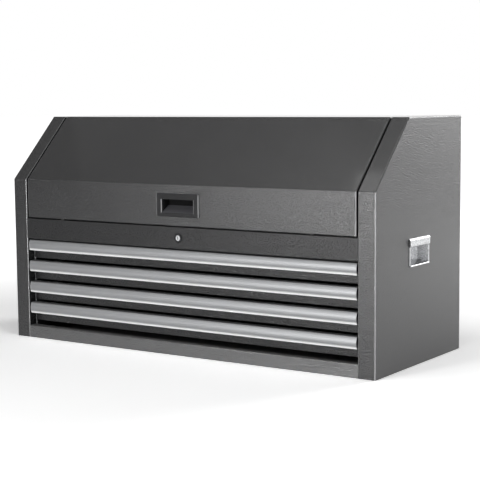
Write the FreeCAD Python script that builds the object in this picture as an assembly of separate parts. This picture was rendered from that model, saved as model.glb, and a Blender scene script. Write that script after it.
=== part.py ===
import FreeCAD, Part
import math
import os

# Steel top chest for tools: a sloped lift-up lid over an open till, and four full-width
# drawers on ball slides below it.
#
# Millimetres. X runs to the right seen from the front, Y from the front to the back and Z up.
# The origin is the centre of the footprint, on the surface that the chest stands on.

# --- Cabinet ------------------------------------------------------------------------------
WIDTH = 1054.0             # over the two side panels
DEPTH = 432.0              # front face to rear flanges
HEIGHT = 567.0
SLOPE_ANGLE = 45.0         # degrees from level
SHEET = 1.5                # cabinet and lid steel
BEND_RADIUS = 3.0          # outside radius of a sheet bend
EDGE_RADIUS = 2.0          # outside radius of a tight bend
STILE_WIDTH = 43.0         # face of the strip down each side of the front
STILE_RETURN = 22.0        # how far that strip turns inwards
REAR_FLANGE = 20.0         # side panel turned in across the back
RAIL_HEIGHT = 31.5         # strip below the drawers
RAIL_DEPTH = 24.0
RAIL_HEM = 10.0
BASE_HEM = 20.0            # base panel turned up at the back

# --- Lid ----------------------------------------------------------------------------------
LID_FRONT_HEIGHT = 97.0    # upright front of the lid, up to the knee where the slope starts
LID_SIDE_GAP = 4.5
LID_SIDE_FLANGE = 18.0
LID_LIP = 28.0             # lid turned in under its lower edge
LID_OPEN_ANGLE = 65.0
STIFFENER_LENGTH = 860.0
STIFFENER_WIDTH = 50.0
STIFFENER_HEIGHT = 15.0
STIFFENER_FOOT = 12.0
STIFFENER_SHEET = 1.2
STIFFENER_BACK = 62.0      # its front edge behind the crest of the lid

# --- Lid hinge ------------------------------------------------------------------------------
KNUCKLE_RADIUS = 3.5
KNUCKLE_COUNT = 19
KNUCKLE_GAP = 0.6
HINGE_LEAF = 1.2
HINGE_LEAF_WIDTH = 28.0
HINGE_END_GAP = 3.0        # hinge end to the lid's side
HINGE_PIN_RADIUS = 1.75
RUNNING_CLEARANCE = 0.05   # on the radius
KNUCKLE_CLEARANCE = 0.7    # leaf edge to the other leaf's knuckles

# --- Header, lock well and till floor -------------------------------------------------------
HEADER_LID_GAP = 3.5
HEADER_HEIGHT = 51.8
HEADER_TOP_LIP = 13.0
LOCK_WELL_DEPTH = 36.0     # outside of the channel behind the header
TILL_FLOOR_DROP = 9.5      # underside of the till floor below the top of the header
TILL_FRONT_HEM = 8.0
TILL_HEM = 20.0
BUMPER_RADIUS = 6.0
BUMPER_PLAY = 0.2
BUMPER_SETBACK = 7.5       # its centre behind the front face
BUMPER_OFFSET = 366.0      # its centre from the middle of the chest

# --- Drawers --------------------------------------------------------------------------------
DRAWER_COUNT = 4
DRAWER_PITCH = 54.3
DRAWER_TOP_GAP = 3.3       # header to the top pull
DRAWER_BOTTOM_GAP = 11.0   # bottom rail to the lowest drawer face
DRAWER_END_GAP = 5.0       # drawer face to the stile
FACE_RECESS = 22.0         # drawer faces behind the front plane
FACE_HEIGHT = 49.0         # top of the pull to the bottom of the face
FACE_SHEET = 1.2
FACE_RETURN = 9.0
PAN_SHEET = 1.0
PAN_REAR_SPACE = 37.8      # back of the pan to the back panel
PAN_TOP_DROP = 12.0        # pan rim below the top of the pull
PAN_FLOOR_GAP = 0.8
PAN_HEM = 6.0
PULL_HEIGHT = 28.5
PULL_WALL = 1.8
PULL_CROWN = 2.2           # rise of the curved front over its chord
PULL_STRAIGHT = 4.0        # flat stretch above and below the curve
PULL_TOP_RADIUS = 2.4
PULL_LIP_RADIUS = 3.6
PULL_LIP = 6.0
PULL_REAR_CLIP = 9.0
PULL_END_GAP = 4.0

# --- Drawer slides --------------------------------------------------------------------------
SLIDE_SPACE = 12.7         # pan to post
SLIDE_HEIGHT = 36.0
SLIDE_STEEL = 1.2
SLIDE_BEND = 1.8
SLIDE_SETBACK = 14.0       # front end behind the drawer face
SLIDE_REAR_SETBACK = 1.2   # rear end in front of the back of the pan
SLIDE_ENGAGEMENT = 14.0    # length of slide that stays engaged with the drawer open
SLIDE_OUTER_DEPTH = 10.2
SLIDE_MIDDLE_DEPTH = 7.4
SLIDE_INNER_DEPTH = 7.4
SLIDE_WEB_GAP = 1.4
BALL_GAP = 2.6             # between two members' flanges
BALL_RADIUS = 1.2
BALL_COUNT = 5
CAGE_STEEL = 0.8
CAGE_WIDTH = 4.0
CAGE_LENGTH = 112.0
CAGE_END_GAP = 6.0
POST_WIDTH = 40.0
POST_FRONT_SETBACK = 26.0  # front post behind the front plane
POST_REAR_SETBACK = 63.0   # rear post in front of the back panel

# --- Side handles ---------------------------------------------------------------------------
HANDLE_LENGTH = 100.0
HANDLE_HEIGHT = 65.0
HANDLE_CENTRE_Y = -6.0
HANDLE_CENTRE_Z = 262.0
HANDLE_PLATE = 1.2
HANDLE_CORNER = 3.0
HANDLE_RIM = 4.0
HANDLE_POCKET = 25.0
HANDLE_POCKET_TAPER = 6.0  # ends and floor of the pocket, over its depth
HANDLE_ROOF_TAPER = 3.0
HANDLE_GRIP_HEIGHT = 20.0
HANDLE_GRIP_RISE = 3.6
HANDLE_GRIP_CURL = 10.0
HANDLE_GRIP_RADIUS = 3.2
HANDLE_BEAD = 2.0          # radius of the half-round bead along the lower edge
HANDLE_WALL_CLEARANCE = 0.4

# --- Lid pull -------------------------------------------------------------------------------
CUP_WIDTH = 124.0
CUP_HEIGHT = 56.0
CUP_RISE = 48.5            # its middle above the lower edge of the lid
CUP_PLATE = 3.0
CUP_CORNER = 3.0
CUP_EDGE = 1.2             # inside corner of the upper edge
CUP_RIM_ROUND = 2.4        # outside of the frame
CUP_MOUTH_ROUND = 2.6      # sides and foot of the opening
CUP_OPENING_WIDTH = 92.0
CUP_OPENING_TOP = 14.5     # below the top of the frame
CUP_OPENING_HEIGHT = 31.0
CUP_SHELF_HEIGHT = 15.0    # sloped lower part of the recess
CUP_DEPTH = 26.0
CUP_UNDERCUT = 10.0        # finger room behind the upper edge
CUP_LIP = 5.5
CUP_WALL = 2.0
CUP_CLEARANCE = 0.3

# --- Lock -----------------------------------------------------------------------------------
LOCK_FLANGE_RADIUS = 11.0
LOCK_FLANGE = 2.0
LOCK_FLANGE_EDGE = 0.8
LOCK_BARREL_RADIUS = 9.0
LOCK_BARREL_LENGTH = 22.0
LOCK_PLUG_RADIUS = 6.5
LOCK_PLUG_RECESS = 0.4
LOCK_HOLE_CLEARANCE = 0.1
KEYWAY_WIDTH = 1.8
KEYWAY_HEIGHT = 8.0
KEYWAY_DEPTH = 6.0
LOCK_NUT_FLATS = 24.0
LOCK_NUT = 4.0
NUT_SIDES = 6
LOCK_TAIL = 6.0            # square through the cam
CAM_PLATE = 2.5
CAM_RADIUS = 22.0
CAM_WIDTH = 12.0
LOCK_SHAFT_RADIUS = 4.0
LOCK_SHAFT_HOLE = 6.0      # radius of the hole in the lock well
CRANK_RADIUS = 10.0
CRANK_WIDTH = 10.0
CRANK_PLATE = 3.0
CRANK_START = -45.0        # degrees below level when unlocked
CRANK_SWING = 90.0
CRANK_PIN_RADIUS = 2.0
CRANK_PIN_PLAY = 0.6
CRANK_PIN_END = 3.0        # pin beyond the locking bar
CRANK_BAR_GAP = 2.0        # crank to the locking bar
LOCK_BAR_SETBACK = 22.0    # its front face in front of the back panel
LOCK_BAR_PLATE = 2.5
LOCK_BAR_WIDTH = 36.0
LOCK_BAR_FOOT = 45.0
LOCK_BAR_HEAD = 3.5        # steel over the crank slot
CATCH_DROP = 14.0          # top of the catch below the top of the pull
CATCH_REACH = 15.0
CATCH_HOOK = 9.0
CATCH_STEEL = 1.2
CATCH_WIDTH = 20.0
FINGER_DROP = 16.0         # finger tip below the top of the catch when unlocked
FINGER_TIP = 9.0
FINGER_REACH = 11.0
FINGER_STEEL = 1.5
FINGER_WIDTH = 16.0
GUIDE_CLEARANCE = 0.4
GUIDE_STEEL = 1.5
GUIDE_HEIGHT = 8.0
GUIDE_DROP = 54.4          # guide below the top of a pull
GUIDED_DRAWERS = (1, 3)
HANGER_WIDTH = 24.0
HANGER_FOOT = 20.0
HANGER_EYE = 10.0          # steel below the middle of the shaft
HANGER_GAP = 16.0          # hanger in front of the crank
STRIKE_WIDTH = 28.0
STRIKE_FOOT = 18.0
STRIKE_RISE = 10.0         # its lower end above the middle of the lock
STRIKE_PLAY = 2.0          # behind the cam

# --- Lid struts -----------------------------------------------------------------------------
STRUT_ARM = 120.0          # hinge axis to each of the strut's two pivots
STRUT_LID_ANGLE = 4.5      # lid pivot below the level of the hinge, degrees
STRUT_SPREAD = 80.0        # angle between the pivots with the lid shut, degrees
STRUT_INSET = 76.7         # middle of the strut from the side of the chest
STRUT_TUBE_RADIUS = 9.0
STRUT_TUBE_WALL = 1.5
STRUT_TUBE_LENGTH = 98.0
STRUT_TUBE_END = 3.0       # closed end of the tube
STRUT_NECK = 1.0           # eye to the end of the tube
STRUT_GLAND = 8.0
STRUT_ROD_RADIUS = 4.0
STRUT_PISTON = 8.0
STRUT_PISTON_PLAY = 0.3
STRUT_PISTON_REST = 2.0    # piston to the closed end with the lid shut
STRUT_EYE_RADIUS = 6.5
STRUT_EYE_WIDTH = 8.0
STRUT_PIN_RADIUS = 3.0
STRUT_PIN_END = 1.0        # stud beyond the tube's eye
STRUT_PIN_GAP = 0.7        # lid stud to the rod's eye
STRUT_BRACKET_GAP = 7.5    # eye to bracket
STRUT_BRACKET = 1.8
STRUT_BRACKET_WIDTH = 24.0
STRUT_BRACKET_FOOT = 14.0

# --- Modelling ------------------------------------------------------------------------------
OVERCUT = 1.0              # how far a cut reaches past the faces that it opens
ON_PLANE = 1e-4            # how near a plane a vertex lies to count as on it

# --- Levels and planes that follow from the sizes above ---------------------------------------
FRONT = -DEPTH / 2
REAR = DEPTH / 2
SIDE = WIDTH / 2
WALL_INNER = SIDE - SHEET
STILE_INNER = SIDE - STILE_WIDTH
BACK_FACE = REAR - 2 * SHEET
SLOPE = math.radians(SLOPE_ANGLE)
PULL_TOP_LOWEST = RAIL_HEIGHT + DRAWER_BOTTOM_GAP + FACE_HEIGHT
PULL_TOP_HIGHEST = PULL_TOP_LOWEST + (DRAWER_COUNT - 1) * DRAWER_PITCH
HEADER_BOTTOM = PULL_TOP_HIGHEST + DRAWER_TOP_GAP
HEADER_TOP = HEADER_BOTTOM + HEADER_HEIGHT
LID_BOTTOM = HEADER_TOP + HEADER_LID_GAP
KNEE_HEIGHT = LID_BOTTOM + LID_FRONT_HEIGHT
TILL_FLOOR_HEIGHT = HEADER_TOP - TILL_FLOOR_DROP
LOCK_HEIGHT = (HEADER_TOP + HEADER_BOTTOM) / 2
CUP_CENTRE_Z = LID_BOTTOM + CUP_RISE
CREST_Y = FRONT + (HEIGHT - KNEE_HEIGHT) / math.tan(SLOPE)
LID_HALF = STILE_INNER - LID_SIDE_GAP
LID_UNDER = HEIGHT - SHEET
HINGE_Y = BACK_FACE - KNUCKLE_RADIUS
HINGE_Z = LID_UNDER - KNUCKLE_RADIUS
LID_REAR = HINGE_Y - KNUCKLE_RADIUS - KNUCKLE_CLEARANCE
WELL_REAR = FRONT + LOCK_WELL_DEPTH
FACE_Y = FRONT + FACE_RECESS
FACE_HALF = STILE_INNER - DRAWER_END_GAP
PAN_HALF = STILE_INNER - SLIDE_SPACE
PAN_FRONT = FACE_Y + FACE_SHEET
PAN_REAR = BACK_FACE - PAN_REAR_SPACE
SLIDE_FRONT = FACE_Y + SLIDE_SETBACK
SLIDE_LENGTH = PAN_REAR - SLIDE_REAR_SETBACK - SLIDE_FRONT
DRAWER_TRAVEL = SLIDE_LENGTH - SLIDE_ENGAGEMENT
CAM_Y = FRONT + LOCK_BARREL_LENGTH
LOCK_BAR_FRONT = BACK_FACE - LOCK_BAR_SETBACK
CRANK_Y = LOCK_BAR_FRONT - CRANK_BAR_GAP - CRANK_PLATE
STRIKE_Y = CAM_Y + CAM_PLATE + STRIKE_PLAY
CRANK_LEVEL = CRANK_RADIUS * math.sin(math.radians(CRANK_START))
CRANK_REACH = CRANK_RADIUS * math.cos(math.radians(CRANK_START))
LOCK_LIFT = -2 * CRANK_LEVEL
STRUT_X = SIDE - STRUT_INSET
STRUT_BRACKET_X = STRUT_X + STRUT_EYE_WIDTH / 2 + STRUT_BRACKET_GAP


def pull_top(number):
    """Level of the top of a drawer's pull, drawer 1 being the top one."""
    return PULL_TOP_HIGHEST - (number - 1) * DRAWER_PITCH


def arm_end(degrees):
    """Point (y, z) on the circle of the strut pivots round the hinge axis."""
    angle = math.radians(degrees)
    return HINGE_Y + STRUT_ARM * math.cos(angle), HINGE_Z + STRUT_ARM * math.sin(angle)


LID_PIVOT = arm_end(180 + STRUT_LID_ANGLE)
BODY_PIVOT = arm_end(180 + STRUT_LID_ANGLE + STRUT_SPREAD)
STRUT_SHUT = 2 * STRUT_ARM * math.sin(math.radians(STRUT_SPREAD / 2))
STRUT_OPEN = 2 * STRUT_ARM * math.sin(math.radians((STRUT_SPREAD + LID_OPEN_ANGLE) / 2))
STRUT_DIRECTION = FreeCAD.Vector(0, LID_PIVOT[0] - BODY_PIVOT[0], LID_PIVOT[1] - BODY_PIVOT[1])
STRUT_DIRECTION.normalize()


# --- Geometry helpers -------------------------------------------------------------------------
def box(x0, x1, y0, y1, z0, z1):
    return Part.makeBox(x1 - x0, y1 - y0, z1 - z0, FreeCAD.Vector(x0, y0, z0))


def cylinder(radius, start, direction, length):
    return Part.makeCylinder(radius, length, FreeCAD.Vector(*start), FreeCAD.Vector(*direction))


def place(axis, a, b, station):
    """Point of a section across the named axis, in the order X, Y, Z of the other two."""
    if axis == "X":
        return FreeCAD.Vector(station, a, b)
    if axis == "Y":
        return FreeCAD.Vector(a, station, b)
    return FreeCAD.Vector(a, b, station)


def corner_arc(before, point, after, radius):
    """Entry, middle and exit of the arc that rounds a corner."""
    arrive = (before - point).normalize()
    leave = (after - point).normalize()
    half = arrive.getAngle(leave) / 2
    reach = radius / math.tan(half)
    middle = point + (arrive + leave).normalize() * (radius / math.sin(half) - radius)
    return point + arrive * reach, middle, point + leave * reach


def extruded(corners, axis, start, end):
    """Solid from a closed outline of (a, b, radius) corners, between two stations of an axis."""
    points = [place(axis, a, b, start) for a, b, radius in corners]
    bends = []
    for index, (a, b, radius) in enumerate(corners):
        point = points[index]
        bend = (point, point, point)
        if radius > 0:
            bend = corner_arc(points[index - 1], point, points[(index + 1) % len(points)], radius)
        bends.append(bend)
    edges = []
    for index, (entry, middle, leave) in enumerate(bends):
        if entry != leave:
            edges.append(Part.Arc(entry, middle, leave).toShape())
        following = bends[(index + 1) % len(bends)][0]
        edges.append(Part.LineSegment(leave, following).toShape())
    face = Part.Face(Part.Wire(edges))
    return face.extrude(place(axis, 0, 0, end - start))


def shifted(path, distance):
    """An open path of (a, b, radius) moved to its right, with mitred corners."""
    moved = []
    last = len(path) - 1
    for index, (a, b, radius) in enumerate(path):
        before = path[max(index - 1, 0)]
        after = path[min(index + 1, last)]
        here = FreeCAD.Vector(a, b, 0)
        arrive = here - FreeCAD.Vector(before[0], before[1], 0)
        leave = FreeCAD.Vector(after[0], after[1], 0) - here
        if index == 0:
            arrive = leave
        if index == last:
            leave = arrive
        arrive = FreeCAD.Vector(arrive).normalize()
        leave = FreeCAD.Vector(leave).normalize()
        side_in = FreeCAD.Vector(arrive.y, -arrive.x, 0)
        side_out = FreeCAD.Vector(leave.y, -leave.x, 0)
        step = (side_in + side_out) * (distance / (1 + side_in.dot(side_out)))
        turns_right = arrive.cross(leave).z < 0
        bend = radius - distance if turns_right else radius + distance
        moved.append((a + step.x, b + step.y, max(bend, 0) if radius > 0 else 0))
    return moved


def strip(path, thickness):
    """Closed outline of bent sheet: one face follows the path, the steel is on its right."""
    return path + shifted(path, thickness)[::-1]


def mirrored(shape):
    return shape.mirror(FreeCAD.Vector(0, 0, 0), FreeCAD.Vector(1, 0, 0))


def fused(shapes):
    whole = shapes[0].fuse(shapes[1:])
    return whole.removeSplitter()


def face_edges(shape, face_y):
    """Edges of the face that lies in the plane y = face_y."""
    chosen = []
    for edge in shape.Edges:
        if all(abs(vertex.Y - face_y) < ON_PLANE for vertex in edge.Vertexes):
            chosen.append(edge)
    return chosen


def outer_edges(shape, side_x):
    """Edges in the plane x = side_x that lie on the chest's front, slope or top."""
    chosen = []
    for edge in shape.Edges:
        corners = [vertex.Point for vertex in edge.Vertexes]
        on_side = all(abs(corner.x - side_x) < ON_PLANE for corner in corners)
        if on_side and all(abs(skin_depth(corner.y, corner.z)) < ON_PLANE for corner in corners):
            chosen.append(edge)
    return chosen


def skin_depth(y, z):
    """How far a point lies inside the front, slope and top planes."""
    slope_depth = (y - FRONT) * math.sin(SLOPE) - (z - KNEE_HEIGHT) * math.cos(SLOPE)
    return min(y - FRONT, HEIGHT - z, slope_depth)


def outline_path(low, rear):
    """The chest's front, slope and top as an open path from the level low to the plane rear."""
    return [
        (FRONT, low, 0),
        (FRONT, KNEE_HEIGHT, BEND_RADIUS),
        (CREST_Y, HEIGHT, BEND_RADIUS),
        (rear, HEIGHT, 0),
    ]


# --- Cabinet shell ------------------------------------------------------------------------------
def handle_opening(half_gap):
    """Widest section of the handle's cup, grown by half_gap, as y and z limits."""
    half_length = HANDLE_LENGTH / 2 - HANDLE_RIM + HANDLE_PLATE + half_gap
    half_height = HANDLE_HEIGHT / 2 - HANDLE_RIM + HANDLE_PLATE + half_gap
    return (
        HANDLE_CENTRE_Y - half_length,
        HANDLE_CENTRE_Y + half_length,
        HANDLE_CENTRE_Z - half_height,
        HANDLE_CENTRE_Z + half_height,
    )


def side_panel():
    """Right side: wall, face strip with its return, and rear flange, bent from one sheet."""
    wall = extruded(outline_path(0, REAR) + [(REAR, 0, 0)], "X", WALL_INNER, SIDE)
    face = extruded(strip(outline_path(0, REAR), SHEET), "X", STILE_INNER, SIDE)
    inner = strip(outline_path(SHEET, BACK_FACE), STILE_RETURN)
    stile_return = extruded(inner, "X", STILE_INNER, STILE_INNER + SHEET)
    flange = box(SIDE - REAR_FLANGE, SIDE, REAR - SHEET, REAR, 0, HEIGHT)
    panel = fused([wall, face, stile_return, flange])
    panel = panel.makeFillet(BEND_RADIUS, outer_edges(panel, SIDE))
    panel = panel.makeFillet(EDGE_RADIUS, outer_edges(panel, STILE_INNER))
    return panel.cut(box(WALL_INNER - SHEET, SIDE + SHEET, *handle_opening(HANDLE_WALL_CLEARANCE)))


def back_panel():
    sheet = box(-WALL_INNER, WALL_INNER, BACK_FACE, REAR - SHEET, 0, LID_UNDER)
    return sheet.cut(box(-STILE_INNER, STILE_INNER, BACK_FACE, REAR, HINGE_Z, HEIGHT))


def base_panel():
    path = [(FRONT + SHEET, 0, 0), (BACK_FACE, 0, 0), (BACK_FACE, BASE_HEM, 0)]
    return extruded(strip(path, -SHEET), "X", -WALL_INNER, WALL_INNER)


def bottom_rail():
    path = [
        (FRONT, 0, 0),
        (FRONT, RAIL_HEIGHT, EDGE_RADIUS),
        (FRONT + RAIL_DEPTH, RAIL_HEIGHT, BEND_RADIUS),
        (FRONT + RAIL_DEPTH, RAIL_HEIGHT - RAIL_HEM, 0),
    ]
    return extruded(strip(path, SHEET), "X", -STILE_INNER, STILE_INNER)


def header_panel():
    """Fixed strip between lid and drawers, folded into the channel that holds the lock."""
    path = [
        (FRONT + HEADER_TOP_LIP, HEADER_TOP, 0),
        (FRONT, HEADER_TOP, EDGE_RADIUS),
        (FRONT, HEADER_BOTTOM, EDGE_RADIUS),
        (WELL_REAR, HEADER_BOTTOM, BEND_RADIUS),
        (WELL_REAR, TILL_FLOOR_HEIGHT, 0),
    ]
    channel = extruded(strip(path, -SHEET), "X", -STILE_INNER, STILE_INNER)
    lock_axis = (0, 1, 0)
    barrel_radius = LOCK_BARREL_RADIUS + LOCK_HOLE_CLEARANCE
    barrel_hole = cylinder(barrel_radius, (0, FRONT - SHEET, LOCK_HEIGHT), lock_axis, 3 * SHEET)
    shaft_start = (0, WELL_REAR - 2 * SHEET, LOCK_HEIGHT)
    shaft_hole = cylinder(LOCK_SHAFT_HOLE, shaft_start, lock_axis, 3 * SHEET)
    return channel.cut([barrel_hole, shaft_hole])


def till_floor():
    path = [
        (WELL_REAR - SHEET, TILL_FLOOR_HEIGHT + TILL_FRONT_HEM, 0),
        (WELL_REAR - SHEET, TILL_FLOOR_HEIGHT, 0),
        (BACK_FACE, TILL_FLOOR_HEIGHT, 0),
        (BACK_FACE, TILL_FLOOR_HEIGHT + TILL_HEM, 0),
    ]
    floor = extruded(strip(path, -SHEET), "X", -WALL_INNER, WALL_INNER)
    hem_top = TILL_FLOOR_HEIGHT + TILL_HEM
    hem = box(WALL_INNER - SHEET, WALL_INNER, WELL_REAR, BACK_FACE, TILL_FLOOR_HEIGHT, hem_top)
    return fused([floor, hem, mirrored(hem)])


def lid_bumpers():
    """Rubber buttons on the header that the shut lid comes down on."""
    height = HEADER_LID_GAP - BUMPER_PLAY
    pads = []
    for x in (-BUMPER_OFFSET, BUMPER_OFFSET):
        foot = (x, FRONT + BUMPER_SETBACK, HEADER_TOP)
        pads.append(cylinder(BUMPER_RADIUS, foot, (0, 0, 1), height))
    return Part.makeCompound(pads)


# --- Slides and their posts -----------------------------------------------------------------------
def post(front):
    path = [
        (WALL_INNER, front, 0),
        (STILE_INNER, front, BEND_RADIUS),
        (STILE_INNER, front + POST_WIDTH, BEND_RADIUS),
        (WALL_INNER, front + POST_WIDTH, 0),
    ]
    return extruded(strip(path, SHEET), "Z", SHEET, TILL_FLOOR_HEIGHT)


def slide_posts():
    front_post = post(FRONT + POST_FRONT_SETBACK)
    rear_post = post(BACK_FACE - POST_REAR_SETBACK - POST_WIDTH)
    return Part.makeCompound([front_post, rear_post])


def slide_level(number):
    """Middle of a drawer's slides, centred on the side of its pan."""
    pan_floor = pull_top(number) - FACE_HEIGHT + FACE_SHEET + PAN_FLOOR_GAP
    return (pan_floor + pull_top(number) - PAN_TOP_DROP) / 2


def channel(web_x, opening_x, half_height, level):
    """Slide member with its web at web_x and its flanges reaching to opening_x."""
    path = [
        (opening_x, level + half_height, 0),
        (web_x, level + half_height, SLIDE_BEND),
        (web_x, level - half_height, SLIDE_BEND),
        (opening_x, level - half_height, 0),
    ]
    steel = SLIDE_STEEL if web_x > opening_x else -SLIDE_STEEL
    return extruded(strip(path, steel), "Y", SLIDE_FRONT, SLIDE_FRONT + SLIDE_LENGTH)


OUTER_HALF = SLIDE_HEIGHT / 2
MIDDLE_HALF = OUTER_HALF - SLIDE_STEEL - BALL_GAP
INNER_HALF = MIDDLE_HALF - SLIDE_STEEL - BALL_GAP
MIDDLE_WEB = STILE_INNER - SLIDE_STEEL - SLIDE_WEB_GAP


def outer_slide(number):
    return channel(STILE_INNER, STILE_INNER - SLIDE_OUTER_DEPTH, OUTER_HALF, slide_level(number))


def outer_slides():
    return Part.makeCompound([outer_slide(number) for number in range(1, DRAWER_COUNT + 1)])


def middle_slides(number):
    right = channel(MIDDLE_WEB, MIDDLE_WEB - SLIDE_MIDDLE_DEPTH, MIDDLE_HALF, slide_level(number))
    return Part.makeCompound([right, mirrored(right)])


def inner_slides(number):
    right = channel(PAN_HALF, PAN_HALF + SLIDE_INNER_DEPTH, INNER_HALF, slide_level(number))
    return Part.makeCompound([right, mirrored(right)])


def ball_cage(x, front, level):
    """Thin strip with steel balls through it, lying between two slide flanges."""
    half_steel = CAGE_STEEL / 2
    cage = box(x - CAGE_WIDTH / 2, x + CAGE_WIDTH / 2, front, front + CAGE_LENGTH,
               level - half_steel, level + half_steel)
    spacing = CAGE_LENGTH / BALL_COUNT
    balls = []
    for index in range(BALL_COUNT):
        centre = FreeCAD.Vector(x, front + (index + 0.5) * spacing, level)
        balls.append(Part.makeSphere(BALL_RADIUS, centre))
    return fused([cage] + balls)


def ball_cages(number):
    """Cages between outer and middle members at the back, middle and inner ones in front."""
    level = slide_level(number)
    rear_start = SLIDE_FRONT + SLIDE_LENGTH - CAGE_END_GAP - CAGE_LENGTH
    front_start = SLIDE_FRONT + CAGE_END_GAP
    outer_x = MIDDLE_WEB - SLIDE_MIDDLE_DEPTH / 2
    inner_x = PAN_HALF + SLIDE_INNER_DEPTH / 2 + SLIDE_STEEL
    cages = []
    for sense in (-1, 1):
        outer_level = level + sense * (MIDDLE_HALF + BALL_GAP / 2)
        inner_level = level + sense * (INNER_HALF + BALL_GAP / 2)
        cages.append(ball_cage(outer_x, rear_start, outer_level))
        cages.append(ball_cage(inner_x, front_start, inner_level))
    return Part.makeCompound(cages + [mirrored(cage) for cage in cages])


# --- Drawers --------------------------------------------------------------------------------------
def drawer_pan(number):
    """Open steel tray with a hemmed rim and the lock's catch on its back."""
    top = pull_top(number) - PAN_TOP_DROP
    floor = pull_top(number) - FACE_HEIGHT + FACE_SHEET + PAN_FLOOR_GAP
    outside = box(-PAN_HALF, PAN_HALF, PAN_FRONT, PAN_REAR, floor, top)
    inner_half = PAN_HALF - PAN_SHEET
    inside = box(-inner_half, inner_half, PAN_FRONT + PAN_SHEET, PAN_REAR - PAN_SHEET,
                 floor + PAN_SHEET, top + PAN_SHEET)
    tray = outside.cut(inside)
    rim = box(inner_half - PAN_SHEET, inner_half, PAN_FRONT + PAN_SHEET, PAN_REAR - PAN_SHEET,
              top - PAN_HEM, top)
    rear_rim = box(-inner_half, inner_half, PAN_REAR - 2 * PAN_SHEET, PAN_REAR - PAN_SHEET,
                   top - PAN_HEM, top)
    return fused([tray, rim, mirrored(rim), rear_rim, drawer_catch(number)])


def catch_level(number):
    return pull_top(number) - CATCH_DROP


def drawer_catch(number):
    top = catch_level(number)
    tip = PAN_REAR + CATCH_REACH
    path = [(PAN_REAR - PAN_SHEET, top, 0), (tip, top, CATCH_STEEL), (tip, top - CATCH_HOOK, 0)]
    return extruded(strip(path, CATCH_STEEL), "X", -CATCH_WIDTH / 2, CATCH_WIDTH / 2)


def drawer_front(number):
    """Recessed face panel, turned back at its lower edge."""
    bottom = pull_top(number) - FACE_HEIGHT
    path = [
        (FACE_Y + FACE_RETURN, bottom, 0),
        (FACE_Y, bottom, FACE_SHEET),
        (FACE_Y, pull_top(number) - PULL_WALL, 0),
    ]
    return extruded(strip(path, FACE_SHEET), "X", -FACE_HALF, FACE_HALF)


def drawer_pull(number):
    """Full-width aluminium section: clips over the face, curved front, lip turned in below."""
    top = pull_top(number)
    bottom = top - PULL_HEIGHT
    half_curve = PULL_HEIGHT / 2 - PULL_STRAIGHT
    end_slope = 2 * math.atan(PULL_CROWN / half_curve)
    chord_y = FRONT + PULL_CROWN
    crown_radius = half_curve / math.sin(end_slope)
    apex_y = chord_y - half_curve * math.tan(end_slope)
    corner_y = chord_y + PULL_STRAIGHT * math.tan(end_slope)
    clip_y = PAN_FRONT + PULL_WALL
    path = [
        (clip_y, top - PULL_REAR_CLIP, 0),
        (clip_y, top, PULL_WALL),
        (corner_y, top, PULL_TOP_RADIUS),
        (apex_y, (top + bottom) / 2, crown_radius),
        (corner_y, bottom, PULL_LIP_RADIUS),
        (corner_y + PULL_LIP, bottom, 0),
    ]
    half_length = STILE_INNER - PULL_END_GAP
    return extruded(strip(path, -PULL_WALL), "X", -half_length, half_length)


# --- Side handles -----------------------------------------------------------------------------------
def tapered_block(inset, x_open, x_back):
    """Handle cup as a block that narrows towards its back."""
    y0, y1, z0, z1 = handle_opening(-inset)
    rims = []
    for x, taper, roof_taper in ((x_open, 0, 0), (x_back, HANDLE_POCKET_TAPER, HANDLE_ROOF_TAPER)):
        points = [
            FreeCAD.Vector(x, y0 + taper, z0 + taper),
            FreeCAD.Vector(x, y1 - taper, z0 + taper),
            FreeCAD.Vector(x, y1 - taper, z1 - roof_taper),
            FreeCAD.Vector(x, y0 + taper, z1 - roof_taper),
        ]
        rims.append(Part.makePolygon(points + points[:1]))
    return Part.makeLoft(rims, True, True)


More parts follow.
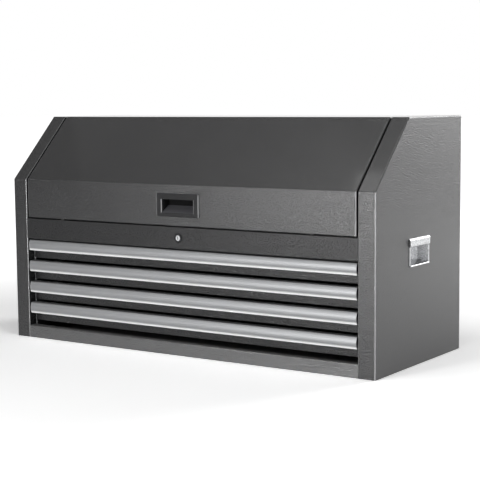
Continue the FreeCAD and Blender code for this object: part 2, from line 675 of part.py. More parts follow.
def side_handle():
    """Right handle: flush pressed cup with a rolled grip over the top of its pocket."""
    half_length = HANDLE_LENGTH / 2
    half_height = HANDLE_HEIGHT / 2
    low = HANDLE_CENTRE_Z - half_height
    high = HANDLE_CENTRE_Z + half_height
    front = HANDLE_CENTRE_Y - half_length
    rear = HANDLE_CENTRE_Y + half_length
    face_x = SIDE + HANDLE_PLATE
    frame_corners = [
        (front, low, HANDLE_CORNER),
        (front, high, HANDLE_CORNER),
        (rear, high, HANDLE_CORNER),
        (rear, low, HANDLE_CORNER),
    ]
    frame = extruded(frame_corners, "X", SIDE, face_x)
    shell = tapered_block(0, SIDE, SIDE - HANDLE_POCKET)
    pocket = tapered_block(HANDLE_PLATE, face_x, SIDE - HANDLE_POCKET + HANDLE_PLATE)
    cup = frame.fuse(shell).cut(pocket)
    grip_x = SIDE + HANDLE_GRIP_RISE
    grip_low = high - HANDLE_GRIP_HEIGHT
    grip_path = [
        (face_x - HANDLE_PLATE, high, 0),
        (grip_x, high - HANDLE_GRIP_RISE, HANDLE_GRIP_RADIUS),
        (grip_x, grip_low, HANDLE_GRIP_RADIUS),
        (grip_x - HANDLE_GRIP_CURL, grip_low, HANDLE_GRIP_RADIUS),
        (grip_x - HANDLE_GRIP_CURL, grip_low + HANDLE_GRIP_CURL, 0),
    ]
    grip = extruded(strip(grip_path, HANDLE_PLATE), "Y", front, rear)
    y0, y1, z0, z1 = handle_opening(-HANDLE_PLATE)
    inner_x = SIDE - HANDLE_POCKET
    front_wall = box(inner_x, SIDE, front, y0, z0, high)
    rear_wall = box(inner_x, SIDE, y1, rear, z0, high)
    top_wall = box(inner_x, SIDE, front, rear, z1, high)
    bead_start = (face_x, front + HANDLE_CORNER, low + HANDLE_BEAD)
    bead = cylinder(HANDLE_BEAD, bead_start, (0, 1, 0), HANDLE_LENGTH - 2 * HANDLE_CORNER)
    bead = bead.cut(box(SIDE - HANDLE_BEAD, SIDE, front, rear, low, low + 2 * HANDLE_BEAD))
    return fused([cup, grip.cut([front_wall, rear_wall, top_wall]), bead])


# --- Lid --------------------------------------------------------------------------------------------
def lid_shell():
    """Front, slope and top in one sheet, with side flanges and a lip under the front."""
    path = outline_path(LID_BOTTOM, LID_REAR)
    skin = extruded(strip(path, SHEET), "X", -LID_HALF, LID_HALF)
    flange = extruded(strip(path, LID_SIDE_FLANGE), "X", LID_HALF - SHEET, LID_HALF)
    shell = fused([skin, flange, mirrored(flange)])
    edges = outer_edges(shell, LID_HALF) + outer_edges(shell, -LID_HALF)
    shell = shell.makeFillet(BEND_RADIUS, edges)
    lip_half = LID_HALF - SHEET
    lip_top = LID_BOTTOM + SHEET
    lip = box(-lip_half, lip_half, FRONT + SHEET / 2, FRONT + LID_LIP, LID_BOTTOM, lip_top)
    y_limits, z_limits = cup_block_limits(CUP_CLEARANCE)
    half_width = CUP_OPENING_WIDTH / 2 + CUP_WALL + CUP_CLEARANCE
    opening = box(-half_width, half_width, FRONT - SHEET, y_limits[1], *z_limits)
    return fused([shell, lip]).cut(opening)


def cup_block_limits(gap):
    """Depth and height limits of the moulded block behind the lid pull's frame."""
    frame_top = CUP_CENTRE_Z + CUP_HEIGHT / 2
    opening_top = frame_top - CUP_OPENING_TOP
    high = opening_top + CUP_UNDERCUT + CUP_WALL + gap
    low = opening_top - CUP_OPENING_HEIGHT - CUP_WALL - gap
    return (FRONT, FRONT + CUP_DEPTH + gap), (low, high)


def lid_pull_cup():
    """Moulded recessed pull: frame, sloped shelf and finger room behind the upper edge."""
    half_width = CUP_WIDTH / 2
    top = CUP_CENTRE_Z + CUP_HEIGHT / 2
    bottom = CUP_CENTRE_Z - CUP_HEIGHT / 2
    face_y = FRONT - CUP_PLATE
    frame_corners = [
        (-half_width, bottom, CUP_CORNER),
        (-half_width, top, CUP_CORNER),
        (half_width, top, CUP_CORNER),
        (half_width, bottom, CUP_CORNER),
    ]
    frame = extruded(frame_corners, "Y", face_y, FRONT)
    frame = frame.makeFillet(CUP_RIM_ROUND, face_edges(frame, face_y))
    y_limits, z_limits = cup_block_limits(0)
    opening_half = CUP_OPENING_WIDTH / 2
    block = box(-opening_half - CUP_WALL, opening_half + CUP_WALL, *y_limits, *z_limits)
    opening_top = top - CUP_OPENING_TOP
    opening_low = opening_top - CUP_OPENING_HEIGHT
    back = FRONT + CUP_DEPTH - CUP_WALL
    recess = [
        (face_y - OVERCUT, opening_low, 0),
        (FRONT, opening_low, 0),
        (back, opening_low + CUP_SHELF_HEIGHT, 0),
        (back, opening_top + CUP_UNDERCUT, 0),
        (face_y + CUP_LIP, opening_top + CUP_UNDERCUT, 0),
        (face_y + CUP_LIP, opening_top, CUP_EDGE),
        (face_y - OVERCUT, opening_top, 0),
    ]
    cup = fused([frame, block]).cut(extruded(recess, "X", -opening_half, opening_half))
    mouth = [
        edge for edge in face_edges(cup, face_y)
        if abs(edge.CenterOfMass.x) < opening_half + ON_PLANE
        and edge.CenterOfMass.z < opening_top - ON_PLANE
    ]
    return cup.makeFillet(CUP_MOUTH_ROUND, mouth)


def lid_stiffener():
    front = CREST_Y + STIFFENER_BACK
    rear = front + STIFFENER_WIDTH
    low = LID_UNDER - STIFFENER_HEIGHT
    path = [
        (front - STIFFENER_FOOT, LID_UNDER, 0),
        (front, LID_UNDER, STIFFENER_SHEET),
        (front, low, BEND_RADIUS),
        (rear, low, BEND_RADIUS),
        (rear, LID_UNDER, STIFFENER_SHEET),
        (rear + STIFFENER_FOOT, LID_UNDER, 0),
    ]
    return extruded(strip(path, STIFFENER_SHEET), "X", -STIFFENER_LENGTH / 2, STIFFENER_LENGTH / 2)


def lid_strike():
    """Tongue under the lid's lip that stands behind the raised lock cam."""
    top = LID_BOTTOM
    rear = STRIKE_Y + SHEET
    path = [(rear - STRIKE_FOOT, top, 0), (rear, top, 0), (rear, LOCK_HEIGHT + STRIKE_RISE, 0)]
    return extruded(strip(path, SHEET), "X", -STRIKE_WIDTH / 2, STRIKE_WIDTH / 2)


# --- Lid hinge ----------------------------------------------------------------------------------------
def hinge_half():
    return LID_HALF - HINGE_END_GAP


def knuckles(first):
    """Every second knuckle along the hinge, starting with the one numbered first."""
    pitch = 2 * hinge_half() / KNUCKLE_COUNT
    spans = []
    for index in range(first, KNUCKLE_COUNT, 2):
        start = -hinge_half() + index * pitch + KNUCKLE_GAP / 2
        spans.append((start, start + pitch - KNUCKLE_GAP))
    return spans


def hinge_leaf(plate, tabs, first):
    """A leaf with its own knuckles rolled round the pin."""
    pieces = [plate]
    for start, end in knuckles(first):
        centre = (start, HINGE_Y, HINGE_Z)
        pieces.append(cylinder(KNUCKLE_RADIUS, centre, (1, 0, 0), end - start))
        pieces.append(box(start, end, *tabs))
    bore_start = (-hinge_half() - OVERCUT, HINGE_Y, HINGE_Z)
    bore_radius = HINGE_PIN_RADIUS + RUNNING_CLEARANCE
    bore = cylinder(bore_radius, bore_start, (1, 0, 0), 2 * (hinge_half() + OVERCUT))
    return fused(pieces).cut(bore)


def hinge_lid_leaf():
    top = LID_UNDER
    edge = LID_REAR
    front = HINGE_Y - HINGE_LEAF_WIDTH
    plate = box(-hinge_half(), hinge_half(), front, edge, top - HINGE_LEAF, top)
    return hinge_leaf(plate, (edge, HINGE_Y, top - HINGE_LEAF, top), 1)


def hinge_body_leaf():
    rear = BACK_FACE
    edge = HINGE_Z - KNUCKLE_RADIUS - KNUCKLE_CLEARANCE
    low = HINGE_Z - HINGE_LEAF_WIDTH
    plate = box(-hinge_half(), hinge_half(), rear - HINGE_LEAF, rear, low, edge)
    return hinge_leaf(plate, (rear - HINGE_LEAF, rear, edge, HINGE_Z), 0)


def hinge_pin():
    return cylinder(HINGE_PIN_RADIUS, (-hinge_half(), HINGE_Y, HINGE_Z), (1, 0, 0), 2 * hinge_half())


# --- Lid struts -----------------------------------------------------------------------------------------
def strut_pin(pivot, inner_x):
    """Stud across a pivot, from its bracket inwards to inner_x."""
    length = STRUT_BRACKET_X + STRUT_BRACKET / 2 - inner_x
    return cylinder(STRUT_PIN_RADIUS, (inner_x, *pivot), (1, 0, 0), length)


def strut_bracket(profile):
    return extruded(profile, "X", STRUT_BRACKET_X, STRUT_BRACKET_X + STRUT_BRACKET)


def strut_body_bracket():
    """Angle on the back panel with the stud that the strut's tube turns on."""
    y, z = BODY_PIVOT
    half = STRUT_BRACKET_WIDTH / 2
    nose = y - STRUT_EYE_RADIUS
    arm = strut_bracket([
        (BACK_FACE, z - half, 0),
        (nose, z - half, half / 2),
        (nose, z + half, half / 2),
        (BACK_FACE, z + half, 0),
    ])
    foot_front = BACK_FACE - STRUT_BRACKET
    foot_end = STRUT_BRACKET_X + STRUT_BRACKET_FOOT
    foot = box(STRUT_BRACKET_X, foot_end, foot_front, BACK_FACE, z - half, z + half)
    inner_x = STRUT_X - STRUT_EYE_WIDTH / 2 - STRUT_PIN_END
    return fused([arm, foot, strut_pin(BODY_PIVOT, inner_x)])


def strut_lid_bracket():
    """Angle under the lid with a short stud beside the rod's eye."""
    y, z = LID_PIVOT
    half = STRUT_BRACKET_WIDTH / 2
    low = z - STRUT_EYE_RADIUS
    arm = strut_bracket([
        (y - half, LID_UNDER, 0),
        (y - half, low, half / 2),
        (y + half, low, half / 2),
        (y + half, LID_UNDER, 0),
    ])
    foot_under = LID_UNDER - STRUT_BRACKET
    foot_end = STRUT_BRACKET_X + STRUT_BRACKET_FOOT
    foot = box(STRUT_BRACKET_X, foot_end, y - half, y + half, foot_under, LID_UNDER)
    inner_x = STRUT_X + STRUT_EYE_WIDTH / 2 + STRUT_PIN_GAP
    return fused([arm, foot, strut_pin(LID_PIVOT, inner_x)])


def strut_point(distance):
    """Point on the strut's axis, measured from its pivot on the chest."""
    return (
        STRUT_X,
        BODY_PIVOT[0] + STRUT_DIRECTION.y * distance,
        BODY_PIVOT[1] + STRUT_DIRECTION.z * distance,
    )


def strut_rod_section(radius, start, length):
    return cylinder(radius, strut_point(start), STRUT_DIRECTION, length)


def strut_eye(pivot):
    start = (STRUT_X - STRUT_EYE_WIDTH / 2, *pivot)
    return cylinder(STRUT_EYE_RADIUS, start, (1, 0, 0), STRUT_EYE_WIDTH)


def eye_bore(pivot):
    radius = STRUT_PIN_RADIUS + RUNNING_CLEARANCE
    return cylinder(radius, (STRUT_X - STRUT_EYE_WIDTH, *pivot), (1, 0, 0), 2 * STRUT_EYE_WIDTH)


def strut_tube():
    """Pressure tube with its gland and the eye that turns on the chest's stud."""
    start = STRUT_EYE_RADIUS + STRUT_NECK
    cavity_start = start + STRUT_TUBE_END
    cavity_length = STRUT_TUBE_LENGTH - STRUT_TUBE_END - STRUT_GLAND
    neck = strut_rod_section(STRUT_ROD_RADIUS, 0, cavity_start - STRUT_TUBE_END / 2)
    tube = strut_rod_section(STRUT_TUBE_RADIUS, start, STRUT_TUBE_LENGTH)
    cavity = strut_rod_section(STRUT_TUBE_RADIUS - STRUT_TUBE_WALL, cavity_start, cavity_length)
    gland_radius = STRUT_ROD_RADIUS + RUNNING_CLEARANCE
    gland_bore = strut_rod_section(gland_radius, cavity_start, STRUT_TUBE_LENGTH)
    whole = strut_eye(BODY_PIVOT).fuse([neck, tube])
    return whole.cut([cavity, gland_bore, eye_bore(BODY_PIVOT)])


def strut_rod():
    """Polished rod with its piston inside the tube and its eye at the lid."""
    piston_start = STRUT_EYE_RADIUS + STRUT_NECK + STRUT_TUBE_END + STRUT_PISTON_REST
    piston_radius = STRUT_TUBE_RADIUS - STRUT_TUBE_WALL - STRUT_PISTON_PLAY
    piston = strut_rod_section(piston_radius, piston_start, STRUT_PISTON)
    rod = strut_rod_section(STRUT_ROD_RADIUS, piston_start, STRUT_SHUT - piston_start)
    return strut_eye(LID_PIVOT).fuse([rod, piston]).cut(eye_bore(LID_PIVOT))


# --- Lock -------------------------------------------------------------------------------------------------
def lock_cylinder(radius, start, end):
    return cylinder(radius, (0, start, LOCK_HEIGHT), (0, 1, 0), end - start)


def lock_barrel():
    flange = lock_cylinder(LOCK_FLANGE_RADIUS, FRONT - LOCK_FLANGE, FRONT)
    flange = flange.makeFillet(LOCK_FLANGE_EDGE, face_edges(flange, FRONT - LOCK_FLANGE))
    body = lock_cylinder(LOCK_BARREL_RADIUS, FRONT, CAM_Y)
    bore = lock_cylinder(LOCK_PLUG_RADIUS + RUNNING_CLEARANCE, FRONT - 2 * LOCK_FLANGE, CAM_Y + OVERCUT)
    return fused([flange, body]).cut(bore)


def lock_nut():
    circle = LOCK_NUT_FLATS / 2 / math.cos(math.pi / NUT_SIDES)
    corners = []
    for index in range(NUT_SIDES):
        angle = 2 * math.pi * index / NUT_SIDES
        corners.append((circle * math.cos(angle), LOCK_HEIGHT + circle * math.sin(angle), 0))
    start = FRONT + SHEET
    nut = extruded(corners, "Y", start, start + LOCK_NUT)
    return nut.cut(lock_cylinder(LOCK_BARREL_RADIUS + RUNNING_CLEARANCE, FRONT, CAM_Y))


def lock_plug():
    """Key plug with its keyway, and the square tail that carries the cam."""
    face_y = FRONT - LOCK_FLANGE + LOCK_PLUG_RECESS
    plug = lock_cylinder(LOCK_PLUG_RADIUS, face_y, CAM_Y)
    half = LOCK_TAIL / 2
    tail = box(-half, half, CAM_Y, CAM_Y + CAM_PLATE, LOCK_HEIGHT - half, LOCK_HEIGHT + half)
    half_width = KEYWAY_WIDTH / 2
    half_height = KEYWAY_HEIGHT / 2
    keyway = box(-half_width, half_width, face_y - OVERCUT, face_y + KEYWAY_DEPTH,
                 LOCK_HEIGHT - half_height, LOCK_HEIGHT + half_height)
    return fused([plug, tail]).cut(keyway)


def lock_cam():
    """Flat cam, lying to the left when unlocked, with its square hole on the plug's tail."""
    half = CAM_WIDTH / 2
    corners = [
        (half, LOCK_HEIGHT - half, half / 2),
        (-CAM_RADIUS, LOCK_HEIGHT - half, half / 2),
        (-CAM_RADIUS, LOCK_HEIGHT + half, half / 2),
        (half, LOCK_HEIGHT + half, half / 2),
    ]
    cam = extruded(corners, "Y", CAM_Y, CAM_Y + CAM_PLATE)
    hole = LOCK_TAIL / 2
    rear = CAM_Y + CAM_PLATE
    square = box(-hole, hole, CAM_Y - OVERCUT, rear + OVERCUT, LOCK_HEIGHT - hole, LOCK_HEIGHT + hole)
    return cam.cut(square)


def lock_shaft():
    return lock_cylinder(LOCK_SHAFT_RADIUS, CAM_Y + CAM_PLATE, CRANK_Y)


def lock_crank():
    """Arm on the rear end of the shaft, whose pin lifts the locking bar."""
    half = CRANK_WIDTH / 2
    arm = extruded([
        (half, LOCK_HEIGHT - half, half / 2),
        (-CRANK_RADIUS - half, LOCK_HEIGHT - half, half / 2),
        (-CRANK_RADIUS - half, LOCK_HEIGHT + half, half / 2),
        (half, LOCK_HEIGHT + half, half / 2),
    ], "Y", CRANK_Y, CRANK_Y + CRANK_PLATE)
    arm.rotate(FreeCAD.Vector(0, 0, LOCK_HEIGHT), FreeCAD.Vector(0, 1, 0), CRANK_START)
    pin_start = (-CRANK_REACH, CRANK_Y, LOCK_HEIGHT + CRANK_LEVEL)
    pin_length = CRANK_PLATE + CRANK_BAR_GAP + LOCK_BAR_PLATE + CRANK_PIN_END
    return fused([arm, cylinder(CRANK_PIN_RADIUS, pin_start, (0, 1, 0), pin_length)])


def lock_bar():
    """Upright bar with a finger for each drawer and the slot that the crank works in."""
    half = LOCK_BAR_WIDTH / 2
    slot_half = CRANK_PIN_RADIUS + CRANK_PIN_PLAY
    slot_level = LOCK_HEIGHT + CRANK_LEVEL
    head = slot_level + slot_half + LOCK_BAR_HEAD
    rear = LOCK_BAR_FRONT + LOCK_BAR_PLATE
    bar = box(-half, half, LOCK_BAR_FRONT, rear, LOCK_BAR_FOOT, head)
    slot = box(-CRANK_RADIUS - slot_half, -CRANK_REACH + slot_half, LOCK_BAR_FRONT - OVERCUT,
               rear + OVERCUT, slot_level - slot_half, slot_level + slot_half)
    fingers = [lock_finger(number) for number in range(1, DRAWER_COUNT + 1)]
    return fused([bar.cut(slot)] + fingers)


def lock_finger(number):
    tip_level = catch_level(number) - FINGER_DROP
    tip_y = LOCK_BAR_FRONT - FINGER_REACH
    path = [
        (tip_y, tip_level, 0),
        (tip_y, tip_level - FINGER_TIP, 0),
        (LOCK_BAR_FRONT + LOCK_BAR_PLATE / 2, tip_level - FINGER_TIP, 0),
    ]
    return extruded(strip(path, -FINGER_STEEL), "X", -FINGER_WIDTH / 2, FINGER_WIDTH / 2)


def lock_bar_guides():
    """Bent straps on the back panel that the locking bar slides through."""
    bar_half = LOCK_BAR_WIDTH / 2 + GUIDE_CLEARANCE
    outer_half = bar_half + GUIDE_STEEL
    slot_front = LOCK_BAR_FRONT - GUIDE_CLEARANCE
    slot_rear = LOCK_BAR_FRONT + LOCK_BAR_PLATE + GUIDE_CLEARANCE
    guides = []
    for number in GUIDED_DRAWERS:
        low = pull_top(number) - GUIDE_DROP
        high = low + GUIDE_HEIGHT
        block = box(-outer_half, outer_half, slot_front - GUIDE_STEEL, BACK_FACE, low, high)
        levels = (low - OVERCUT, high + OVERCUT)
        passage = box(-bar_half, bar_half, slot_front, slot_rear, *levels)
        hollow_front = slot_rear + GUIDE_STEEL
        hollow = box(-bar_half, bar_half, hollow_front, BACK_FACE - GUIDE_STEEL, *levels)
        guides.append(block.cut([passage, hollow]))
    return Part.makeCompound(guides)


def lock_shaft_hanger():
    """Angle under the till floor that carries the rear end of the lock shaft."""
    rear = CRANK_Y - HANGER_GAP
    path = [
        (rear - HANGER_FOOT, TILL_FLOOR_HEIGHT, 0),
        (rear, TILL_FLOOR_HEIGHT, BEND_RADIUS),
        (rear, LOCK_HEIGHT - HANGER_EYE, 0),
    ]
    angle = extruded(strip(path, SHEET), "X", -HANGER_WIDTH / 2, HANGER_WIDTH / 2)
    bore_radius = LOCK_SHAFT_RADIUS + RUNNING_CLEARANCE
    return angle.cut(lock_cylinder(bore_radius, rear - 2 * SHEET, rear + OVERCUT))


# --- Assembly -----------------------------------------------------------------------------------------------
def pair(right):
    return Part.makeCompound([right, mirrored(right)])


def build_nodes():
    right_panel = side_panel()
    right_posts = slide_posts()
    right_outer = outer_slides()
    right_handle = side_handle()
    right_tube = strut_tube()
    right_rod = strut_rod()
    nodes = {
        "right_side_panel": right_panel,
        "left_side_panel": mirrored(right_panel),
        "back_panel": back_panel(),
        "base_panel": base_panel(),
        "bottom_rail": bottom_rail(),
        "header_panel": header_panel(),
        "till_floor": till_floor(),
        "lid_bumpers": lid_bumpers(),
        "right_slide_posts": right_posts,
        "left_slide_posts": mirrored(right_posts),
        "right_outer_slides": right_outer,
        "left_outer_slides": mirrored(right_outer),
        "right_handle": right_handle,
        "left_handle": mirrored(right_handle),
        "lid_shell": lid_shell(),
        "lid_stiffener": lid_stiffener(),
        "lid_pull_cup": lid_pull_cup(),
        "lid_strike": lid_strike(),
        "hinge_lid_leaf": hinge_lid_leaf(),
        "hinge_body_leaf": hinge_body_leaf(),
        "hinge_pin": hinge_pin(),
        "strut_body_brackets": pair(strut_body_bracket()),
        "strut_lid_brackets": pair(strut_lid_bracket()),
        "right_strut_tube": right_tube,
        "left_strut_tube": mirrored(right_tube),
        "right_strut_rod": right_rod,
        "left_strut_rod": mirrored(right_rod),
        "lock_barrel": lock_barrel(),
        "lock_nut": lock_nut(),
        "lock_plug": lock_plug(),
        "lock_cam": lock_cam(),
        "lock_shaft": lock_shaft(),
        "lock_crank": lock_crank(),
        "lock_bar": lock_bar(),
        "lock_bar_guides": lock_bar_guides(),
        "lock_shaft_hanger": lock_shaft_hanger(),
    }
    for number in range(1, DRAWER_COUNT + 1):
        nodes[f"drawer_{number}_pan"] = drawer_pan(number)
        nodes[f"drawer_{number}_front"] = drawer_front(number)
        nodes[f"drawer_{number}_pull"] = drawer_pull(number)
        nodes[f"drawer_{number}_inner_slides"] = inner_slides(number)
        nodes[f"drawer_{number}_middle_slides"] = middle_slides(number)
        nodes[f"drawer_{number}_ball_cages"] = ball_cages(number)
    return nodes


os.makedirs("parts", exist_ok=True)
for name, shape in build_nodes().items():
    shape.exportStep(f"parts/{name}.step")
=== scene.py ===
"""Steel top tool chest: its finishes, studio and camera, laid out as an add-on."""
import math
import bpy
from bpy.props import FloatProperty, FloatVectorProperty, PointerProperty
from bpy.types import Operator, Panel, PropertyGroup
from mathutils import Matrix, Vector

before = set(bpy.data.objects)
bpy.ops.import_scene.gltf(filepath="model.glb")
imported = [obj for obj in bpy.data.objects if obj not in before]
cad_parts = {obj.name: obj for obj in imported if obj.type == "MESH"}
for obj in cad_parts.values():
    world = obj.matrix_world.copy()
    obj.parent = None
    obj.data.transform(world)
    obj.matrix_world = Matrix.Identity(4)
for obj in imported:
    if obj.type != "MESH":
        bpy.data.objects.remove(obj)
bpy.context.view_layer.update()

bl_info = {
    "name": "Steel Top Tool Chest",
    "version": (1, 0, 0),
    "blender": (4, 5, 0),
    "location": "View3D > Sidebar > Tool Chest",
    "description": "Finishes and studio for a steel top tool chest with a sloped lid",
    "category": "Object",
}

DRAWERS = (1, 2, 3, 4)
CUP_FRONT = -0.219          # Y of the lid pull's front face
CUP_SHADE_START = 0.004     # how far behind that face the painted shade in its plastic starts
CUP_SHADE_REACH = 0.012

# Colours of worn edges, dust and small parts
THIN_PAINT = (0.16, 0.162, 0.165)
THIN_POWDER = (0.24, 0.245, 0.25)
PAINT_DUST = (0.30, 0.29, 0.28)
POWDER_DUST = (0.42, 0.41, 0.39)
METAL_DUST = (0.52, 0.51, 0.49)
BALL_STEEL = (0.60, 0.60, 0.61)
BUMPER_RUBBER = (0.02, 0.02, 0.02)
STRUT_ENAMEL = (0.012, 0.012, 0.012)

# Relief depths and grain sizes, in metres
POWDER_GRAIN = 0.0011
POWDER_DEPTH = 0.0002
BRUSH_WIDTH = 0.0005
BRUSH_STRETCH = 80.0
BRUSH_DEPTH = 0.00004
PLATE_DEPTH = 0.00003
CUP_GRAIN = 0.0009
CUP_DEPTH = 0.00012

PAINT_ROUGHNESS = 0.20
FLAKE_POLISH = 0.04         # how much smoother a flake is than the mean, and the ground rougher
FLAT_DULLING = 0.5          # roughness added on the level tops, which else clip to white
FLAT_LEVELS = (0.8, 1.0)    # range of the dust's level mask over which a top counts as level
GLANCING = (0.93, 0.97)     # range of Layer Weight's Facing over which the level coat shows
COAT_ROUGHNESS = 0.06
CUP_INDEX = 1.32            # index of the lid pull's plastic
CREASE_HIGHLIGHT_SHARE = 0.07         # how much of the painted bend highlight a level crease shows
WEAR_PATCHES = 90.0         # noise scale of the broken edge wear
DUST_CLOUDS = 14.0          # noise scale of the dust

# How much lighter or darker a finish turns, as a factor of its colour
GRAIN_LIGHT = 1.6           # moulded parts, where the grain is light
PULL_STREAK = 0.86          # brushed streaks
# painted highlight on the pull's upward faces
PULL_TOP_HIGHLIGHT = 1.2
PULL_LIP_REFLECTION = 3.3           # painted reflection of the floor along the lip
PLATE_TONE = 0.88
CUP_LEDGE_LIGHT = 7.0               # painted light on the cup's upward ledge
CUP_DEEP_SHADE = 0.25             # painted shade deep in the cup
BRIGHTEST = 0.97            # limit of the colour of the lip's painted reflection


# --- Settings -----------------------------------------------------------------------------------
class ChestFinishes(PropertyGroup):
    """Colours and textures of the chest."""

    paint: FloatVectorProperty(
        name="Paint", description="Ground colour of the hammertone paint", subtype="COLOR",
        size=3, min=0.0, max=1.0, default=(0.0055, 0.0055, 0.006))
    paint_gloss: FloatProperty(
        name="Paint gloss", description="How strongly the paint's resin mirrors, as its index",
        min=1.0, max=3.0, default=1.62)
    header_gloss: FloatProperty(
        name="Header gloss", description="The same on the header and drawer faces",
        min=1.0, max=3.0, default=1.42)
    rail_gloss: FloatProperty(
        name="Rail gloss", description="The same on the bottom rail",
        min=1.0, max=3.0, default=2.1)
    flake: FloatVectorProperty(
        name="Flake", description="Colour of the paint's bright flakes", subtype="COLOR",
        size=3, min=0.0, max=1.0, default=(0.034, 0.034, 0.036))
    # Painted highlight: this pale colour and the metal share below stand for the shine of the
    # upright bends.
    bend: FloatVectorProperty(
        name="Bend", description="Pale colour that stands for the shine of the upright bends",
        subtype="COLOR", size=3, min=0.0, max=1.0, default=(0.30, 0.302, 0.306))
    bend_highlight_metal: FloatProperty(
        name="Bend metal", description="How metallic that pale colour is",
        subtype="FACTOR", min=0.0, max=1.0, default=0.6)
    grain_size: FloatProperty(
        name="Grain size", description="Width of one hammertone dimple", subtype="DISTANCE",
        min=0.0005, max=0.02, default=0.0028)
    grain_depth: FloatProperty(
        name="Grain depth", description="Depth of one hammertone dimple", subtype="DISTANCE",
        min=0.0, max=0.002, default=0.0005)
    aluminium: FloatVectorProperty(
        name="Aluminium", description="Colour of the drawer pulls", subtype="COLOR",
        size=3, min=0.0, max=1.0, default=(0.30, 0.304, 0.311))
    chrome: FloatVectorProperty(
        name="Chrome", description="Colour of the strut rods", subtype="COLOR",
        size=3, min=0.0, max=1.0, default=(0.72, 0.73, 0.74))
    handle: FloatVectorProperty(
        name="Handle plate", description="Colour of the plated handles and lock plug",
        subtype="COLOR", size=3, min=0.0, max=1.0, default=(0.50, 0.505, 0.515))
    # Painted shade: the ring is darkened to stand for the dark room its chrome mirrors.
    lock_rim_shade: FloatVectorProperty(
        name="Lock rim", description="Colour of the darker plated ring round the lock plug",
        subtype="COLOR", size=3, min=0.0, max=1.0, default=(0.022, 0.022, 0.023))
    zinc: FloatVectorProperty(
        name="Zinc", description="Colour of the plated slides, hinge and lock works",
        subtype="COLOR", size=3, min=0.0, max=1.0, default=(0.50, 0.52, 0.54))
    plastic: FloatVectorProperty(
        name="Plastic", description="Colour of the lid pull", subtype="COLOR",
        size=3, min=0.0, max=1.0, default=(0.012, 0.012, 0.013))
    edge_wear: FloatProperty(
        name="Edge wear", description="How much the paint thins on edges", subtype="FACTOR",
        min=0.0, max=1.0, default=0.12)
    dust: FloatProperty(
        name="Dust", description="Dust on level surfaces", subtype="FACTOR",
        min=0.0, max=1.0, default=0.06)


class ChestStudio(PropertyGroup):
    """Lights, floor and surroundings of the chest."""

    floor: FloatVectorProperty(
        name="Floor", description="Colour of the floor", subtype="COLOR",
        size=3, min=0.0, max=1.0, default=(0.90, 0.90, 0.90))
    floor_gain: FloatProperty(
        name="Floor gain", description="How much paler the floor looks than it lights",
        subtype="FACTOR", min=1.0, max=4.0, default=2.0)
    ambient: FloatProperty(
        name="Ambient", description="Level of the light from all round", min=0.0, max=2.0,
        default=0.10)
    room: FloatProperty(
        name="Room", description="Level that bright metal shows of the room in front",
        min=0.0, max=2.0, default=0.42)
    ceiling: FloatProperty(
        name="Ceiling", description="Level that bright metal shows of the ceiling",
        min=0.0, max=2.0, default=0.22)
    key_power: FloatProperty(
        name="Key light", description="Power of the soft box at the front left",
        unit="POWER", min=0.0, max=2000.0, default=8.2)
    front_power: FloatProperty(
        name="Front light", description="Power of the soft box low in front",
        unit="POWER", min=0.0, max=2000.0, default=46.5)
    top_power: FloatProperty(
        name="Top light", description="Power of the light above",
        unit="POWER", min=0.0, max=2000.0, default=16.0)
    top_left_power: FloatProperty(
        name="Left top light", description="Power of the small light above on the left",
        unit="POWER", min=0.0, max=2000.0, default=1.0)
    side_power: FloatProperty(
        name="Side light", description="Power of the wide soft box on the right",
        unit="POWER", min=0.0, max=2000.0, default=36.0)
    rim_power: FloatProperty(
        name="Rim light", description="Power of the light high behind on the right",
        unit="POWER", min=0.0, max=2000.0, default=41.0)
    low_rim_power: FloatProperty(
        name="Low rim light", description="Power of the light low behind on the right",
        unit="POWER", min=0.0, max=2000.0, default=6.1)


# --- Node helpers -------------------------------------------------------------------------------
def new_group(name, inputs, outputs):
    """Empty shader node group with float, vector or colour sockets."""
    group = bpy.data.node_groups.new(name, "ShaderNodeTree")
    for label, kind, value in inputs:
        socket = group.interface.new_socket(label, in_out="INPUT", socket_type=kind)
        if value is not None:
            socket.default_value = value
    for label, kind in outputs:
        group.interface.new_socket(label, in_out="OUTPUT", socket_type=kind)
    return group


def add_node(tree, kind, **settings):
    """New node with its settings given as keywords."""
    node = tree.nodes.new(kind)
    for key, value in settings.items():
        setattr(node, key, value)
    return node


def link(tree, output, socket):
    """Joins an output to an input."""
    tree.links.new(output, socket)


def math_node(tree, operation, first, second=None):
    """Math node fed by sockets or plain numbers; returns its output."""
    node = add_node(tree, "ShaderNodeMath", operation=operation)
    for index, value in enumerate((first, second)):
        if value is None:
            continue
        if isinstance(value, (int, float)):
            node.inputs[index].default_value = value
        else:
            link(tree, value, node.inputs[index])
    return node.outputs[0]


def map_range(tree, value, source, target):
    """Clamped map of a socket from one range of numbers to another."""
    node = add_node(tree, "ShaderNodeMapRange", clamp=True)
    link(tree, value, node.inputs["Value"])
    node.inputs["From Min"].default_value, node.inputs["From Max"].default_value = source
    node.inputs["To Min"].default_value, node.inputs["To Max"].default_value = target
    return node.outputs["Result"]


def mix_colour(tree, factor, first, second):
    """Mix of two colours, each a socket or a plain triple."""
    node = add_node(tree, "ShaderNodeMix", data_type="RGBA")
    link(tree, factor, node.inputs["Factor"])
    for key, value in (("A", first), ("B", second)):
        socket = [s for s in node.inputs if s.name == key and s.type == "RGBA"][0]
        if isinstance(value, bpy.types.NodeSocket):
            link(tree, value, socket)
        else:
            socket.default_value = (*value, 1.0)
    return [s for s in node.outputs if s.type == "RGBA"][0]


def group_frame(group):
    """The group's own input and output nodes."""
    return add_node(group, "NodeGroupInput"), add_node(group, "NodeGroupOutput")


